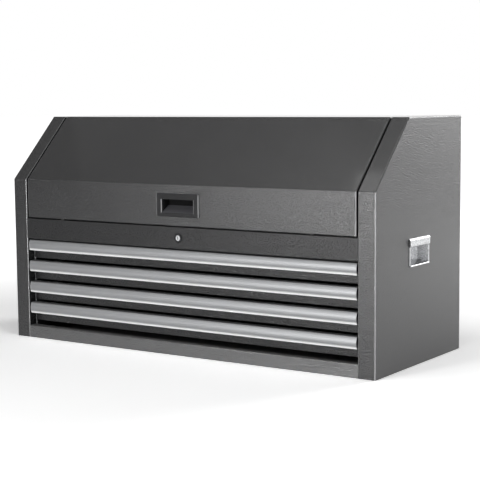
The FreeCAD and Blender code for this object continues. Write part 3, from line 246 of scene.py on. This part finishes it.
# --- Shared effects -----------------------------------------------------------------------------
def hammertone_group():
    """Irregular dimples with bright flakes between them."""
    group = new_group(
        "Hammertone",
        [("Grain Size", "NodeSocketFloat", 0.003), ("Contrast", "NodeSocketFloat", 1.0)],
        [("Flake", "NodeSocketFloat"), ("Relief", "NodeSocketFloat")],
    )
    start, end = group_frame(group)
    place = add_node(group, "ShaderNodeTexCoord")
    scale = math_node(group, "DIVIDE", 1.0, start.outputs["Grain Size"])
    warp = add_node(group, "ShaderNodeTexNoise")
    warp.inputs["Detail"].default_value = 2.0
    link(group, place.outputs["Object"], warp.inputs["Vector"])
    link(group, math_node(group, "MULTIPLY", scale, 0.6), warp.inputs["Scale"])
    shift = add_node(group, "ShaderNodeVectorMath", operation="SCALE")
    link(group, warp.outputs["Color"], shift.inputs[0])
    drift = math_node(group, "MULTIPLY", start.outputs["Grain Size"], 1.2)
    link(group, drift, shift.inputs["Scale"])
    moved = add_node(group, "ShaderNodeVectorMath", operation="ADD")
    link(group, place.outputs["Object"], moved.inputs[0])
    link(group, shift.outputs[0], moved.inputs[1])
    cells = add_node(group, "ShaderNodeTexVoronoi", feature="SMOOTH_F1")
    cells.inputs["Smoothness"].default_value = 0.5
    link(group, moved.outputs[0], cells.inputs["Vector"])
    link(group, scale, cells.inputs["Scale"])
    fine = add_node(group, "ShaderNodeTexNoise")
    fine.inputs["Detail"].default_value = 3.0
    link(group, place.outputs["Object"], fine.inputs["Vector"])
    link(group, math_node(group, "MULTIPLY", scale, 1.7), fine.inputs["Scale"])
    dimple = map_range(group, cells.outputs["Distance"], (0.1, 0.75), (1.0, 0.0))
    relief = math_node(group, "ADD", math_node(group, "MULTIPLY", dimple, 0.7),
                       math_node(group, "MULTIPLY", fine.outputs["Fac"], 0.5))
    speck = map_range(group, fine.outputs["Fac"], (0.42, 0.68), (0.0, 1.0))
    flake = math_node(group, "MULTIPLY", speck, start.outputs["Contrast"])
    link(group, flake, end.inputs["Flake"])
    link(group, relief, end.inputs["Relief"])
    return group


def brushed_group():
    """Fine scratches that run along X."""
    group = new_group(
        "Brushed Lengthwise",
        [("Stretch", "NodeSocketFloat", 60.0), ("Width", "NodeSocketFloat", 0.0004)],
        [("Streak", "NodeSocketFloat"), ("Relief", "NodeSocketFloat")],
    )
    start, end = group_frame(group)
    place = add_node(group, "ShaderNodeTexCoord")
    squeeze = add_node(group, "ShaderNodeCombineXYZ")
    link(group, math_node(group, "DIVIDE", 1.0, start.outputs["Stretch"]), squeeze.inputs["X"])
    squeeze.inputs["Y"].default_value = 1.0
    squeeze.inputs["Z"].default_value = 1.0
    stretched = add_node(group, "ShaderNodeVectorMath", operation="MULTIPLY")
    link(group, place.outputs["Object"], stretched.inputs[0])
    link(group, squeeze.outputs[0], stretched.inputs[1])
    lines = add_node(group, "ShaderNodeTexNoise")
    lines.inputs["Detail"].default_value = 4.0
    link(group, stretched.outputs[0], lines.inputs["Vector"])
    link(group, math_node(group, "DIVIDE", 1.0, start.outputs["Width"]), lines.inputs["Scale"])
    streak = map_range(group, lines.outputs["Fac"], (0.3, 0.7), (0.0, 1.0))
    link(group, streak, end.inputs["Streak"])
    link(group, lines.outputs["Fac"], end.inputs["Relief"])
    return group


def grain_group():
    """Even fine texture of moulded plastic, rubber or powder coat."""
    group = new_group(
        "Fine Grain",
        [("Grain Size", "NodeSocketFloat", 0.001)],
        [("Tone", "NodeSocketFloat"), ("Relief", "NodeSocketFloat")],
    )
    start, end = group_frame(group)
    place = add_node(group, "ShaderNodeTexCoord")
    scale = math_node(group, "DIVIDE", 1.0, start.outputs["Grain Size"])
    small = add_node(group, "ShaderNodeTexNoise")
    small.inputs["Detail"].default_value = 3.0
    link(group, place.outputs["Object"], small.inputs["Vector"])
    link(group, scale, small.inputs["Scale"])
    broad = add_node(group, "ShaderNodeTexNoise")
    link(group, place.outputs["Object"], broad.inputs["Vector"])
    link(group, math_node(group, "MULTIPLY", scale, 0.03), broad.inputs["Scale"])
    tone = map_range(group, broad.outputs["Fac"], (0.3, 0.7), (0.0, 1.0))
    link(group, tone, end.inputs["Tone"])
    link(group, small.outputs["Fac"], end.inputs["Relief"])
    return group


def edge_wear_group():
    """Mask of the sharp edges, broken up by noise."""
    group = new_group(
        "Edge Wear",
        [("Amount", "NodeSocketFloat", 0.4), ("Width", "NodeSocketFloat", 0.0012)],
        [("Mask", "NodeSocketFloat")],
    )
    start, end = group_frame(group)
    rounded = add_node(group, "ShaderNodeBevel", samples=4)
    link(group, start.outputs["Width"], rounded.inputs["Radius"])
    surface = add_node(group, "ShaderNodeNewGeometry")
    facing = add_node(group, "ShaderNodeVectorMath", operation="DOT_PRODUCT")
    link(group, rounded.outputs["Normal"], facing.inputs[0])
    link(group, surface.outputs["Normal"], facing.inputs[1])
    edge = map_range(group, facing.outputs["Value"], (0.80, 0.995), (1.0, 0.0))
    place = add_node(group, "ShaderNodeTexCoord")
    patches = add_node(group, "ShaderNodeTexNoise")
    patches.inputs["Scale"].default_value = WEAR_PATCHES
    patches.inputs["Detail"].default_value = 4.0
    link(group, place.outputs["Object"], patches.inputs["Vector"])
    broken = map_range(group, patches.outputs["Fac"], (0.35, 0.65), (0.2, 1.0))
    wear_and_highlight = math_node(group, "MULTIPLY", edge, broken)
    link(group, math_node(group, "MULTIPLY", wear_and_highlight, start.outputs["Amount"]), end.inputs["Mask"])
    return group


def dust_group():
    """Masks of thin dust on surfaces that face up, and of those surfaces themselves."""
    group = new_group(
        "Dust", [("Amount", "NodeSocketFloat", 0.1)],
        [("Mask", "NodeSocketFloat"), ("Level", "NodeSocketFloat")])
    start, end = group_frame(group)
    surface = add_node(group, "ShaderNodeNewGeometry")
    split = add_node(group, "ShaderNodeSeparateXYZ")
    link(group, surface.outputs["Normal"], split.inputs[0])
    level = map_range(group, split.outputs["Z"], (0.5, 1.0), (0.0, 1.0))
    place = add_node(group, "ShaderNodeTexCoord")
    clouds = add_node(group, "ShaderNodeTexNoise")
    clouds.inputs["Scale"].default_value = DUST_CLOUDS
    clouds.inputs["Detail"].default_value = 6.0
    link(group, place.outputs["Object"], clouds.inputs["Vector"])
    patchy = map_range(group, clouds.outputs["Fac"], (0.3, 0.75), (0.2, 1.0))
    link(group, level, end.inputs["Level"])
    layer = math_node(group, "MULTIPLY", level, patchy)
    link(group, math_node(group, "MULTIPLY", layer, start.outputs["Amount"]), end.inputs["Mask"])
    return group


def facing_group():
    """Masks of the surfaces that face up and down, of upright bends and of level creases."""
    group = new_group(
        "Facing", [("Start", "NodeSocketFloat", 0.2), ("Full", "NodeSocketFloat", 0.6)],
        [("Up", "NodeSocketFloat"), ("Down", "NodeSocketFloat"), ("Bend", "NodeSocketFloat"),
         ("Crease", "NodeSocketFloat")])
    start, end = group_frame(group)
    surface = add_node(group, "ShaderNodeNewGeometry")
    split = add_node(group, "ShaderNodeSeparateXYZ")
    link(group, surface.outputs["Normal"], split.inputs[0])
    span = math_node(group, "SUBTRACT", start.outputs["Full"], start.outputs["Start"])
    for key, sign in (("Up", 1.0), ("Down", -1.0)):
        turned = math_node(group, "MULTIPLY", split.outputs["Z"], sign)
        past = math_node(group, "SUBTRACT", turned, start.outputs["Start"])
        share = math_node(group, "DIVIDE", past, span)
        link(group, map_range(group, share, (0.0, 1.0), (0.0, 1.0)), end.inputs[key])
    # The bend and crease masks place the painted highlights on bends and creases.
    sideways = math_node(group, "ABSOLUTE", split.outputs["X"])
    rising = map_range(group, sideways, (0.08, 0.30), (0.0, 1.0))
    falling = map_range(group, sideways, (0.93, 0.995), (1.0, 0.0))
    upright = map_range(group, split.outputs["Z"], (0.10, 0.40), (1.0, 0.15))
    bend = math_node(group, "MULTIPLY", math_node(group, "MULTIPLY", rising, falling), upright)
    link(group, bend, end.inputs["Bend"])
    leaning = map_range(group, split.outputs["Z"], (0.05, 0.20), (0.0, 1.0))
    sloping = map_range(group, split.outputs["Z"], (0.50, 0.65), (1.0, 0.0))
    link(group, math_node(group, "MULTIPLY", leaning, sloping), end.inputs["Crease"])
    return group


def depth_group():
    """Mask that grows with the distance behind a plane across Y."""
    group = new_group(
        "Depth", [("Plane", "NodeSocketFloat", 0.0), ("Reach", "NodeSocketFloat", 0.01)],
        [("Mask", "NodeSocketFloat")])
    start, end = group_frame(group)
    place = add_node(group, "ShaderNodeTexCoord")
    split = add_node(group, "ShaderNodeSeparateXYZ")
    link(group, place.outputs["Object"], split.inputs[0])
    behind = math_node(group, "SUBTRACT", split.outputs["Y"], start.outputs["Plane"])
    share = math_node(group, "DIVIDE", behind, start.outputs["Reach"])
    link(group, map_range(group, share, (0.0, 1.0), (0.0, 1.0)), end.inputs["Mask"])
    return group


SHARED_EFFECTS = {
    "Hammertone": hammertone_group,
    "Brushed Lengthwise": brushed_group,
    "Fine Grain": grain_group,
    "Edge Wear": edge_wear_group,
    "Dust": dust_group,
    "Facing": facing_group,
    "Depth": depth_group,
}


def effect(tree, name, **values):
    """Places a shared effect in a material; keywords set its inputs by name."""
    if name not in bpy.data.node_groups:
        SHARED_EFFECTS[name]()
    node = add_node(tree, "ShaderNodeGroup", node_tree=bpy.data.node_groups[name])
    for key, value in values.items():
        node.inputs[key.replace("_", " ").title()].default_value = value
    return node


# --- Materials ----------------------------------------------------------------------------------
def new_material(name):
    """Material with its node tree and its shader node."""
    material = bpy.data.materials.new(name)
    material.use_nodes = True
    tree = material.node_tree
    shader = tree.nodes["Principled BSDF"]
    return material, tree, shader


def add_relief(tree, shader, height, depth):
    """Bump from a height that runs from 0 to 1 over the given depth."""
    bump = add_node(tree, "ShaderNodeBump")
    bump.inputs["Distance"].default_value = depth
    link(tree, height, bump.inputs["Height"])
    link(tree, bump.outputs["Normal"], shader.inputs["Normal"])


def hammertone_paint(name, finish, gloss_index, bend_highlight_share=1.0):
    """Dark glossy paint whose dimples break up what it mirrors, with a painted highlight on its
    bends; the last argument sets how pale the bends turn with it.
    """
    material, tree, shader = new_material(name)
    grain = effect(tree, "Hammertone", grain_size=finish.grain_size)
    wear = effect(tree, "Edge Wear", amount=finish.edge_wear)
    dust = effect(tree, "Dust", amount=finish.dust)
    facing = effect(tree, "Facing")
    paint = mix_colour(tree, grain.outputs["Flake"], finish.paint, finish.flake)
    # Painted highlight: bends, and faintly the level creases, are mixed towards the pale bend
    # colour.
    crease_highlight = math_node(tree, "MULTIPLY", facing.outputs["Crease"], CREASE_HIGHLIGHT_SHARE)
    bend = math_node(tree, "MULTIPLY", facing.outputs["Bend"], bend_highlight_share)
    with_bend_highlight = mix_colour(tree, math_node(tree, "MAXIMUM", bend, crease_highlight), paint, finish.bend)
    wear_and_highlight = mix_colour(tree, wear.outputs["Mask"], with_bend_highlight, THIN_PAINT)
    dusty = mix_colour(tree, dust.outputs["Mask"], wear_and_highlight, PAINT_DUST)
    link(tree, dusty, shader.inputs["Base Color"])
    gloss = map_range(tree, grain.outputs["Flake"], (0.0, 1.0),
                      (PAINT_ROUGHNESS + FLAKE_POLISH, PAINT_ROUGHNESS - FLAKE_POLISH))
    flat = map_range(tree, dust.outputs["Level"], FLAT_LEVELS, (0.0, 1.0))
    dulled = math_node(tree, "MULTIPLY", flat, FLAT_DULLING)
    link(tree, math_node(tree, "ADD", gloss, dulled), shader.inputs["Roughness"])
    shader.inputs["IOR"].default_value = gloss_index
    # Painted highlight: the same bends are made partly metallic.
    bend_highlight_metallic = math_node(tree, "MULTIPLY", bend, finish.bend_highlight_metal)
    link(tree, bend_highlight_metallic, shader.inputs["Metallic"])
    glancing = add_node(tree, "ShaderNodeLayerWeight")
    sheen = map_range(tree, glancing.outputs["Facing"], GLANCING, (1.0, 0.0))
    hidden = math_node(tree, "MULTIPLY", flat, sheen)
    link(tree, math_node(tree, "SUBTRACT", dust.outputs["Level"], hidden),
         shader.inputs["Coat Weight"])
    shader.inputs["Coat Roughness"].default_value = COAT_ROUGHNESS
    add_relief(tree, shader, grain.outputs["Relief"], finish.grain_depth)
    return material


def powder_coat(name, finish):
    """Plain fine-textured coat inside the drawers."""
    material, tree, shader = new_material(name)
    grain = effect(tree, "Fine Grain", grain_size=POWDER_GRAIN)
    wear = effect(tree, "Edge Wear", amount=finish.edge_wear)
    dust = effect(tree, "Dust", amount=finish.dust)
    darker = [channel * 0.8 for channel in finish.paint]
    lighter = [channel * 1.3 for channel in finish.paint]
    paint = mix_colour(tree, grain.outputs["Tone"], darker, lighter)
    wear_and_highlight = mix_colour(tree, wear.outputs["Mask"], paint, THIN_POWDER)
    dusty = mix_colour(tree, dust.outputs["Mask"], wear_and_highlight, POWDER_DUST)
    link(tree, dusty, shader.inputs["Base Color"])
    gloss = map_range(tree, grain.outputs["Relief"], (0.3, 0.7), (0.40, 0.52))
    link(tree, gloss, shader.inputs["Roughness"])
    add_relief(tree, shader, grain.outputs["Relief"], POWDER_DEPTH)
    return material


def brushed_aluminium(name, finish):
    """Aluminium brushed along its length, with a painted highlight on its upward faces and a
    painted reflection of the floor along its lip.
    """
    material, tree, shader = new_material(name)
    brush = effect(tree, "Brushed Lengthwise", stretch=BRUSH_STRETCH, width=BRUSH_WIDTH)
    dust = effect(tree, "Dust", amount=finish.dust)
    facing = effect(tree, "Facing", start=0.27, full=0.37)
    darker = [channel * PULL_STREAK for channel in finish.aluminium]
    # Painted highlight on the upward faces and painted reflection of the floor along the downward
    # lip.
    lip_reflection = [min(channel * PULL_LIP_REFLECTION, BRIGHTEST) for channel in finish.aluminium]
    metal = mix_colour(tree, brush.outputs["Streak"], darker, finish.aluminium)
    top_highlight = [channel * PULL_TOP_HIGHLIGHT for channel in finish.aluminium]
    with_top_highlight = mix_colour(tree, facing.outputs["Up"], metal, top_highlight)
    painted_light_colour = mix_colour(tree, facing.outputs["Down"], with_top_highlight, lip_reflection)
    dusty = mix_colour(tree, dust.outputs["Mask"], painted_light_colour, METAL_DUST)
    link(tree, dusty, shader.inputs["Base Color"])
    gloss = map_range(tree, brush.outputs["Streak"], (0.0, 1.0), (0.42, 0.52))
    link(tree, gloss, shader.inputs["Roughness"])
    shader.inputs["Metallic"].default_value = 1.0
    add_relief(tree, shader, brush.outputs["Relief"], BRUSH_DEPTH)
    return material


def bright_plate(name, colour, roughness, grain_size):
    """Plated metal with faint marks in its gloss."""
    material, tree, shader = new_material(name)
    grain = effect(tree, "Fine Grain", grain_size=grain_size)
    darker = [channel * PLATE_TONE for channel in colour]
    metal = mix_colour(tree, grain.outputs["Tone"], darker, colour)
    link(tree, metal, shader.inputs["Base Color"])
    gloss = map_range(tree, grain.outputs["Relief"], (0.3, 0.7),
                      (roughness * 0.8, roughness * 1.35))
    link(tree, gloss, shader.inputs["Roughness"])
    shader.inputs["Metallic"].default_value = 1.0
    add_relief(tree, shader, grain.outputs["Relief"], PLATE_DEPTH)
    return material


def moulded(name, colour, roughness, grain_size, depth):
    """Plastic or rubber with an even texture from its mould."""
    material, tree, shader = new_material(name)
    grain = effect(tree, "Fine Grain", grain_size=grain_size)
    lighter = [channel * GRAIN_LIGHT for channel in colour]
    body = mix_colour(tree, grain.outputs["Tone"], colour, lighter)
    link(tree, body, shader.inputs["Base Color"])
    gloss = map_range(tree, grain.outputs["Relief"], (0.3, 0.7),
                      (roughness - 0.06, roughness + 0.08))
    link(tree, gloss, shader.inputs["Roughness"])
    add_relief(tree, shader, grain.outputs["Relief"], depth)
    return material


def cup_plastic(name, finish):
    """Moulded plastic, duller and with painted shade deep in the cup, with painted light on its
    ledge and a painted highlight on its upright rims.
    """
    material, tree, shader = new_material(name)
    grain = effect(tree, "Fine Grain", grain_size=CUP_GRAIN)
    deep = effect(tree, "Depth", plane=CUP_FRONT + CUP_SHADE_START, reach=CUP_SHADE_REACH)
    facing = effect(tree, "Facing", start=0.4, full=0.8)
    lighter = [channel * GRAIN_LIGHT for channel in finish.plastic]
    painted_light_colour = [channel * CUP_LEDGE_LIGHT for channel in finish.plastic]
    deep_shade = [channel * CUP_DEEP_SHADE for channel in finish.plastic]
    body = mix_colour(tree, grain.outputs["Tone"], finish.plastic, lighter)
    # Painted shade deeper in the cup, painted light on the upward ledge and a painted highlight on
    # the upright rims near its front.
    shaded = mix_colour(tree, deep.outputs["Mask"], body, deep_shade)
    with_ledge_light = mix_colour(tree, facing.outputs["Up"], shaded, painted_light_colour)
    rim = math_node(tree, "SUBTRACT", facing.outputs["Bend"], deep.outputs["Mask"])
    wear_and_highlight = mix_colour(tree, math_node(tree, "MAXIMUM", rim, 0.0), with_ledge_light, finish.bend)
    link(tree, wear_and_highlight, shader.inputs["Base Color"])
    gloss = map_range(tree, deep.outputs["Mask"], (0.0, 1.0), (0.38, 0.95))
    polished = map_range(tree, facing.outputs["Up"], (0.0, 1.0), (0.0, -0.55))
    link(tree, math_node(tree, "MAXIMUM", math_node(tree, "ADD", gloss, polished), 0.3),
         shader.inputs["Roughness"])
    shader.inputs["IOR"].default_value = CUP_INDEX
    add_relief(tree, shader, grain.outputs["Relief"], CUP_DEPTH)
    return material


def wear_material(material, *names):
    """Gives CAD nodes the material."""
    for name in names:
        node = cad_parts[name]
        for slot in node.material_slots:
            slot.material = material
        if not node.material_slots:
            node.data.materials.append(material)


# --- Operators ----------------------------------------------------------------------------------
class CHEST_OT_paint_cabinet(Operator):
    """Hammertone paint on the cabinet's panels"""

    bl_idname = "chest.paint_cabinet"
    bl_label = "Paint Cabinet"

    def execute(self, context):
        finish = context.scene.chest_finishes
        paint = hammertone_paint("cabinet_hammertone", finish, finish.paint_gloss)
        wear_material(
            paint, "left_side_panel", "right_side_panel", "back_panel", "base_panel",
            "till_floor", "left_slide_posts", "right_slide_posts")
        header = hammertone_paint("header_hammertone", finish, finish.header_gloss)
        wear_material(header, "header_panel")
        rail = hammertone_paint("rail_hammertone", finish, finish.rail_gloss)
        wear_material(rail, "bottom_rail")
        return {"FINISHED"}


class CHEST_OT_paint_lid(Operator):
    """Hammertone paint on the lid, its stiffener and its strike"""

    bl_idname = "chest.paint_lid"
    bl_label = "Paint Lid"

    def execute(self, context):
        finish = context.scene.chest_finishes
        paint = hammertone_paint("lid_hammertone", finish, finish.paint_gloss)
        # The strike shows in the gap under the lid; it takes the dark lid paint so that this gap
        # reads as painted shade.
        wear_material(paint, "lid_shell", "lid_stiffener", "lid_strike")
        return {"FINISHED"}


class CHEST_OT_finish_lid_pull(Operator):
    """Moulded lid pull and rubber bumpers"""

    bl_idname = "chest.finish_lid_pull"
    bl_label = "Lid Pull and Bumpers"

    def execute(self, context):
        finish = context.scene.chest_finishes
        wear_material(cup_plastic("pull_plastic", finish), "lid_pull_cup")
        rubber = moulded("bumper_rubber", BUMPER_RUBBER, 0.7, 0.0006, 0.0001)
        wear_material(rubber, "lid_bumpers")
        return {"FINISHED"}


class CHEST_OT_finish_drawers(Operator):
    """Drawer faces, pans and aluminium pulls"""

    bl_idname = "chest.finish_drawers"
    bl_label = "Drawers"

    def execute(self, context):
        finish = context.scene.chest_finishes
        paint = hammertone_paint("drawer_hammertone", finish, finish.header_gloss, bend_highlight_share=0.0)
        wear_material(paint, *[f"drawer_{number}_front" for number in DRAWERS])
        wear_material(powder_coat("pan_powder_coat", finish),
                      *[f"drawer_{number}_pan" for number in DRAWERS])
        wear_material(brushed_aluminium("pull_aluminium", finish),
                      *[f"drawer_{number}_pull" for number in DRAWERS])
        return {"FINISHED"}


class CHEST_OT_finish_slides(Operator):
    """Zinc plated slides and their steel ball cages"""

    bl_idname = "chest.finish_slides"
    bl_label = "Slides"

    def execute(self, context):
        finish = context.scene.chest_finishes
        zinc = bright_plate("slide_zinc", finish.zinc, 0.30, 0.006)
        names = ["left_outer_slides", "right_outer_slides"]
        names += [f"drawer_{number}_inner_slides" for number in DRAWERS]
        names += [f"drawer_{number}_middle_slides" for number in DRAWERS]
        wear_material(zinc, *names)
        balls = bright_plate("ball_steel", BALL_STEEL, 0.16, 0.002)
        wear_material(balls, *[f"drawer_{number}_ball_cages" for number in DRAWERS])
        return {"FINISHED"}


class CHEST_OT_finish_handles(Operator):
    """Chrome plate on both side handles"""

    bl_idname = "chest.finish_handles"
    bl_label = "Side Handles"

    def execute(self, context):
        finish = context.scene.chest_finishes
        chrome = bright_plate("handle_chrome", finish.handle, 0.24, 0.004)
        wear_material(chrome, "left_handle", "right_handle")
        return {"FINISHED"}


class CHEST_OT_finish_lock(Operator):
    """Chrome lock face and zinc plated lock works"""

    bl_idname = "chest.finish_lock"
    bl_label = "Lock"

    def execute(self, context):
        finish = context.scene.chest_finishes
        # Painted shade: the lock ring's chrome takes a near-black colour in place of the dark room
        # it mirrors.
        wear_material(bright_plate("lock_rim_chrome", finish.lock_rim_shade, 0.06, 0.002), "lock_barrel")
        wear_material(bright_plate("lock_plug_chrome", finish.handle, 0.05, 0.002), "lock_plug")
        zinc = bright_plate("lock_works_zinc", finish.zinc, 0.34, 0.004)
        wear_material(zinc, "lock_nut", "lock_cam", "lock_shaft", "lock_crank", "lock_bar",
                      "lock_bar_guides", "lock_shaft_hanger")
        return {"FINISHED"}


class CHEST_OT_finish_lid_support(Operator):
    """Hinge, struts and their brackets"""

    bl_idname = "chest.finish_lid_support"
    bl_label = "Hinge and Struts"

    def execute(self, context):
        finish = context.scene.chest_finishes
        zinc = bright_plate("hinge_zinc", finish.zinc, 0.32, 0.005)
        wear_material(zinc, "hinge_body_leaf", "hinge_lid_leaf", "hinge_pin",
                      "strut_body_brackets", "strut_lid_brackets")
        enamel = moulded("strut_enamel", STRUT_ENAMEL, 0.30, 0.002, 0.00004)
        wear_material(enamel, "left_strut_tube", "right_strut_tube")
        rod = bright_plate("strut_rod_chrome", finish.chrome, 0.08, 0.002)
        wear_material(rod, "left_strut_rod", "right_strut_rod")
        return {"FINISHED"}


# --- Studio -------------------------------------------------------------------------------------
CAMERA_PLACE = (1.8341, -2.6695, 0.6129)
CAMERA_TURN = (34.04, 6.25, -0.51)
CAMERA_LENS = 97.43
SENSOR_WIDTH = 36.0
FLOOR_REACH = 30.0
FLOOR_FADE = (0.9, 2.4)     # distances between which the floor fades to plain white
STUDIO_LAMPS = {
    "key": ((-1.437, -3.081, 0.95), (0.0, 0.0, 0.3), (0.9, 1.0)),
    "front": ((-0.532, -3.358, 0.55), (0.1, 0.0, 0.3), (0.6, 0.8)),
    "top": ((0.0, -0.9, 2.7), (0.0, 0.0, 0.3), (1.8, 1.2)),
    "top_left": ((-1.5, -0.3, 2.7), (0.0, 0.0, 0.3), (1.4, 1.2)),
    "side": ((3.05, -1.10, 0.75), (0.3, 0.0, 0.25), (2.2, 1.3)),
    "rim": ((1.403, 2.876, 1.5), (0.35, 0.0, 0.3), (1.3, 1.2)),
    "low_rim": ((1.302, 2.923, 0.6), (0.35, 0.0, 0.3), (1.3, 0.9)),
}


def camera_matrix():
    """World matrix of a camera turned by azimuth, elevation and roll, in degrees."""
    azimuth, elevation, roll = [math.radians(angle) for angle in CAMERA_TURN]
    back = Vector((math.sin(azimuth) * math.cos(elevation),
                   -math.cos(azimuth) * math.cos(elevation),
                   math.sin(elevation)))
    right = (-back).cross(Vector((0, 0, 1))).normalized()
    up = right.cross(-back)
    level_right = right * math.cos(roll) + up * math.sin(roll)
    level_up = up * math.cos(roll) - right * math.sin(roll)
    turn = Matrix((level_right, level_up, back)).transposed().to_4x4()
    return Matrix.Translation(CAMERA_PLACE) @ turn


def soft_light(name, place, target, size, power):
    """Rectangular lamp that points at the target and isn't seen itself."""
    data = bpy.data.lights.new(name, "AREA")
    data.shape = "RECTANGLE"
    data.size, data.size_y = size
    data.energy = power
    lamp = bpy.data.objects.new(name, data)
    bpy.context.scene.collection.objects.link(lamp)
    lamp.location = place
    lamp.rotation_mode = "QUATERNION"
    lamp.rotation_quaternion = (Vector(target) - Vector(place)).to_track_quat("-Z", "Y")
    lamp.visible_camera = False


def flat_sheet(name, corners, material):
    """One rectangle with its own material."""
    mesh = bpy.data.meshes.new(name)
    mesh.from_pydata(corners, [], [tuple(range(len(corners)))])
    mesh.materials.append(material)
    sheet = bpy.data.objects.new(name, mesh)
    bpy.context.scene.collection.objects.link(sheet)
    return sheet


def studio_zones(tree):
    """Masks of the directions that show the white backdrop and the ceiling."""
    place = add_node(tree, "ShaderNodeTexCoord")
    split = add_node(tree, "ShaderNodeSeparateXYZ")
    link(tree, place.outputs["Generated"], split.inputs[0])
    ceiling = map_range(tree, split.outputs["Z"], (0.30, 0.62), (0.0, 1.0))
    behind = map_range(tree, split.outputs["Y"], (-0.35, 0.15), (0.0, 1.0))
    lower = math_node(tree, "SUBTRACT", 1.0, ceiling)
    backdrop = math_node(tree, "MULTIPLY", behind, lower)
    return backdrop, ceiling


def white_surroundings(studio):
    """World that is white to the camera, with a white backdrop and a dimmer room and ceiling."""
    world = bpy.data.worlds.new("studio_surroundings")
    world.use_nodes = True
    bpy.context.scene.world = world
    tree = world.node_tree
    background = tree.nodes["Background"]
    background.inputs["Color"].default_value = (1.0, 1.0, 1.0, 1.0)
    path = add_node(tree, "ShaderNodeLightPath")
    backdrop, ceiling = studio_zones(tree)
    room = map_range(tree, ceiling, (0.0, 1.0), (studio.room, studio.ceiling))
    lift = math_node(tree, "MULTIPLY", backdrop, math_node(tree, "SUBTRACT", 1.0, room))
    mirrored = math_node(tree, "ADD", room, lift)
    glossy = math_node(tree, "MULTIPLY", path.outputs["Is Glossy Ray"], mirrored)
    seen = math_node(tree, "MAXIMUM", path.outputs["Is Camera Ray"],
                     path.outputs["Is Transmission Ray"])
    shown = math_node(tree, "MAXIMUM", seen, glossy)
    diffuse = math_node(tree, "MULTIPLY", path.outputs["Is Diffuse Ray"], studio.ambient)
    link(tree, math_node(tree, "MAXIMUM", shown, diffuse), background.inputs["Strength"])


def floor_material(studio):
    """Matt white that looks paler than it lights and fades to plain white far out."""
    material, tree, shader = new_material("floor_white")
    path = add_node(tree, "ShaderNodeLightPath")
    pale = [channel * studio.floor_gain for channel in studio.floor]
    shown = math_node(tree, "MAXIMUM", path.outputs["Is Camera Ray"], path.outputs["Is Glossy Ray"])
    shade = mix_colour(tree, shown, studio.floor, pale)
    link(tree, shade, shader.inputs["Base Color"])
    place = add_node(tree, "ShaderNodeTexCoord")
    distance = add_node(tree, "ShaderNodeVectorMath", operation="LENGTH")
    link(tree, place.outputs["Object"], distance.inputs[0])
    far = map_range(tree, distance.outputs["Value"], FLOOR_FADE, (0.0, 1.0))
    glow = math_node(tree, "MULTIPLY", far, path.outputs["Is Camera Ray"])
    link(tree, glow, shader.inputs["Emission Color"])
    shader.inputs["Emission Strength"].default_value = 1.0
    shader.inputs["Roughness"].default_value = 1.0
    shader.inputs["Specular IOR Level"].default_value = 0.0
    return material


class CHEST_OT_build_stage(Operator):
    """Floor, soft lights, surroundings and camera"""

    bl_idname = "chest.build_stage"
    bl_label = "Studio"

    def execute(self, context):
        studio = context.scene.chest_studio
        corners = [(x * FLOOR_REACH, y * FLOOR_REACH, 0)
                   for x, y in ((-1, -1), (1, -1), (1, 1), (-1, 1))]
        flat_sheet("floor", corners, floor_material(studio))
        white_surroundings(studio)
        for name, (place, target, size) in STUDIO_LAMPS.items():
            soft_light(name, place, target, size, getattr(studio, name + "_power"))
        data = bpy.data.cameras.new("camera")
        data.sensor_width = SENSOR_WIDTH
        data.lens = CAMERA_LENS
        camera = bpy.data.objects.new("camera", data)
        context.scene.collection.objects.link(camera)
        camera.matrix_world = camera_matrix()
        context.scene.camera = camera
        context.scene.view_settings.view_transform = "Standard"
        return {"FINISHED"}


class CHEST_PT_tool_chest(Panel):
    """Settings of the chest and its studio, and the operators that use them"""

    bl_label = "Tool Chest"
    bl_idname = "CHEST_PT_tool_chest"
    bl_space_type = "VIEW_3D"
    bl_region_type = "UI"
    bl_category = "Tool Chest"

    def draw(self, context):
        for settings in (context.scene.chest_finishes, context.scene.chest_studio):
            box = self.layout.box()
            for key in settings.__annotations__:
                box.prop(settings, key)
        for operator in OPERATORS:
            self.layout.operator(operator.bl_idname)


OPERATORS = (
    CHEST_OT_paint_cabinet,
    CHEST_OT_paint_lid,
    CHEST_OT_finish_lid_pull,
    CHEST_OT_finish_drawers,
    CHEST_OT_finish_slides,
    CHEST_OT_finish_handles,
    CHEST_OT_finish_lock,
    CHEST_OT_finish_lid_support,
    CHEST_OT_build_stage,
)
CLASSES = (ChestFinishes, ChestStudio, *OPERATORS, CHEST_PT_tool_chest)


def register():
    """Adds the settings, operators and panel to Blender."""
    for item in CLASSES:
        bpy.utils.register_class(item)
    bpy.types.Scene.chest_finishes = PointerProperty(type=ChestFinishes)
    bpy.types.Scene.chest_studio = PointerProperty(type=ChestStudio)


def unregister():
    """Takes them out again."""
    del bpy.types.Scene.chest_finishes
    del bpy.types.Scene.chest_studio
    for item in reversed(CLASSES):
        bpy.utils.unregister_class(item)


def main():
    """Registers the add-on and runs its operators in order."""
    register()
    for operator in OPERATORS:
        family, name = operator.bl_idname.split(".")
        getattr(getattr(bpy.ops, family), name)()


if __name__ == "__main__":
    main()
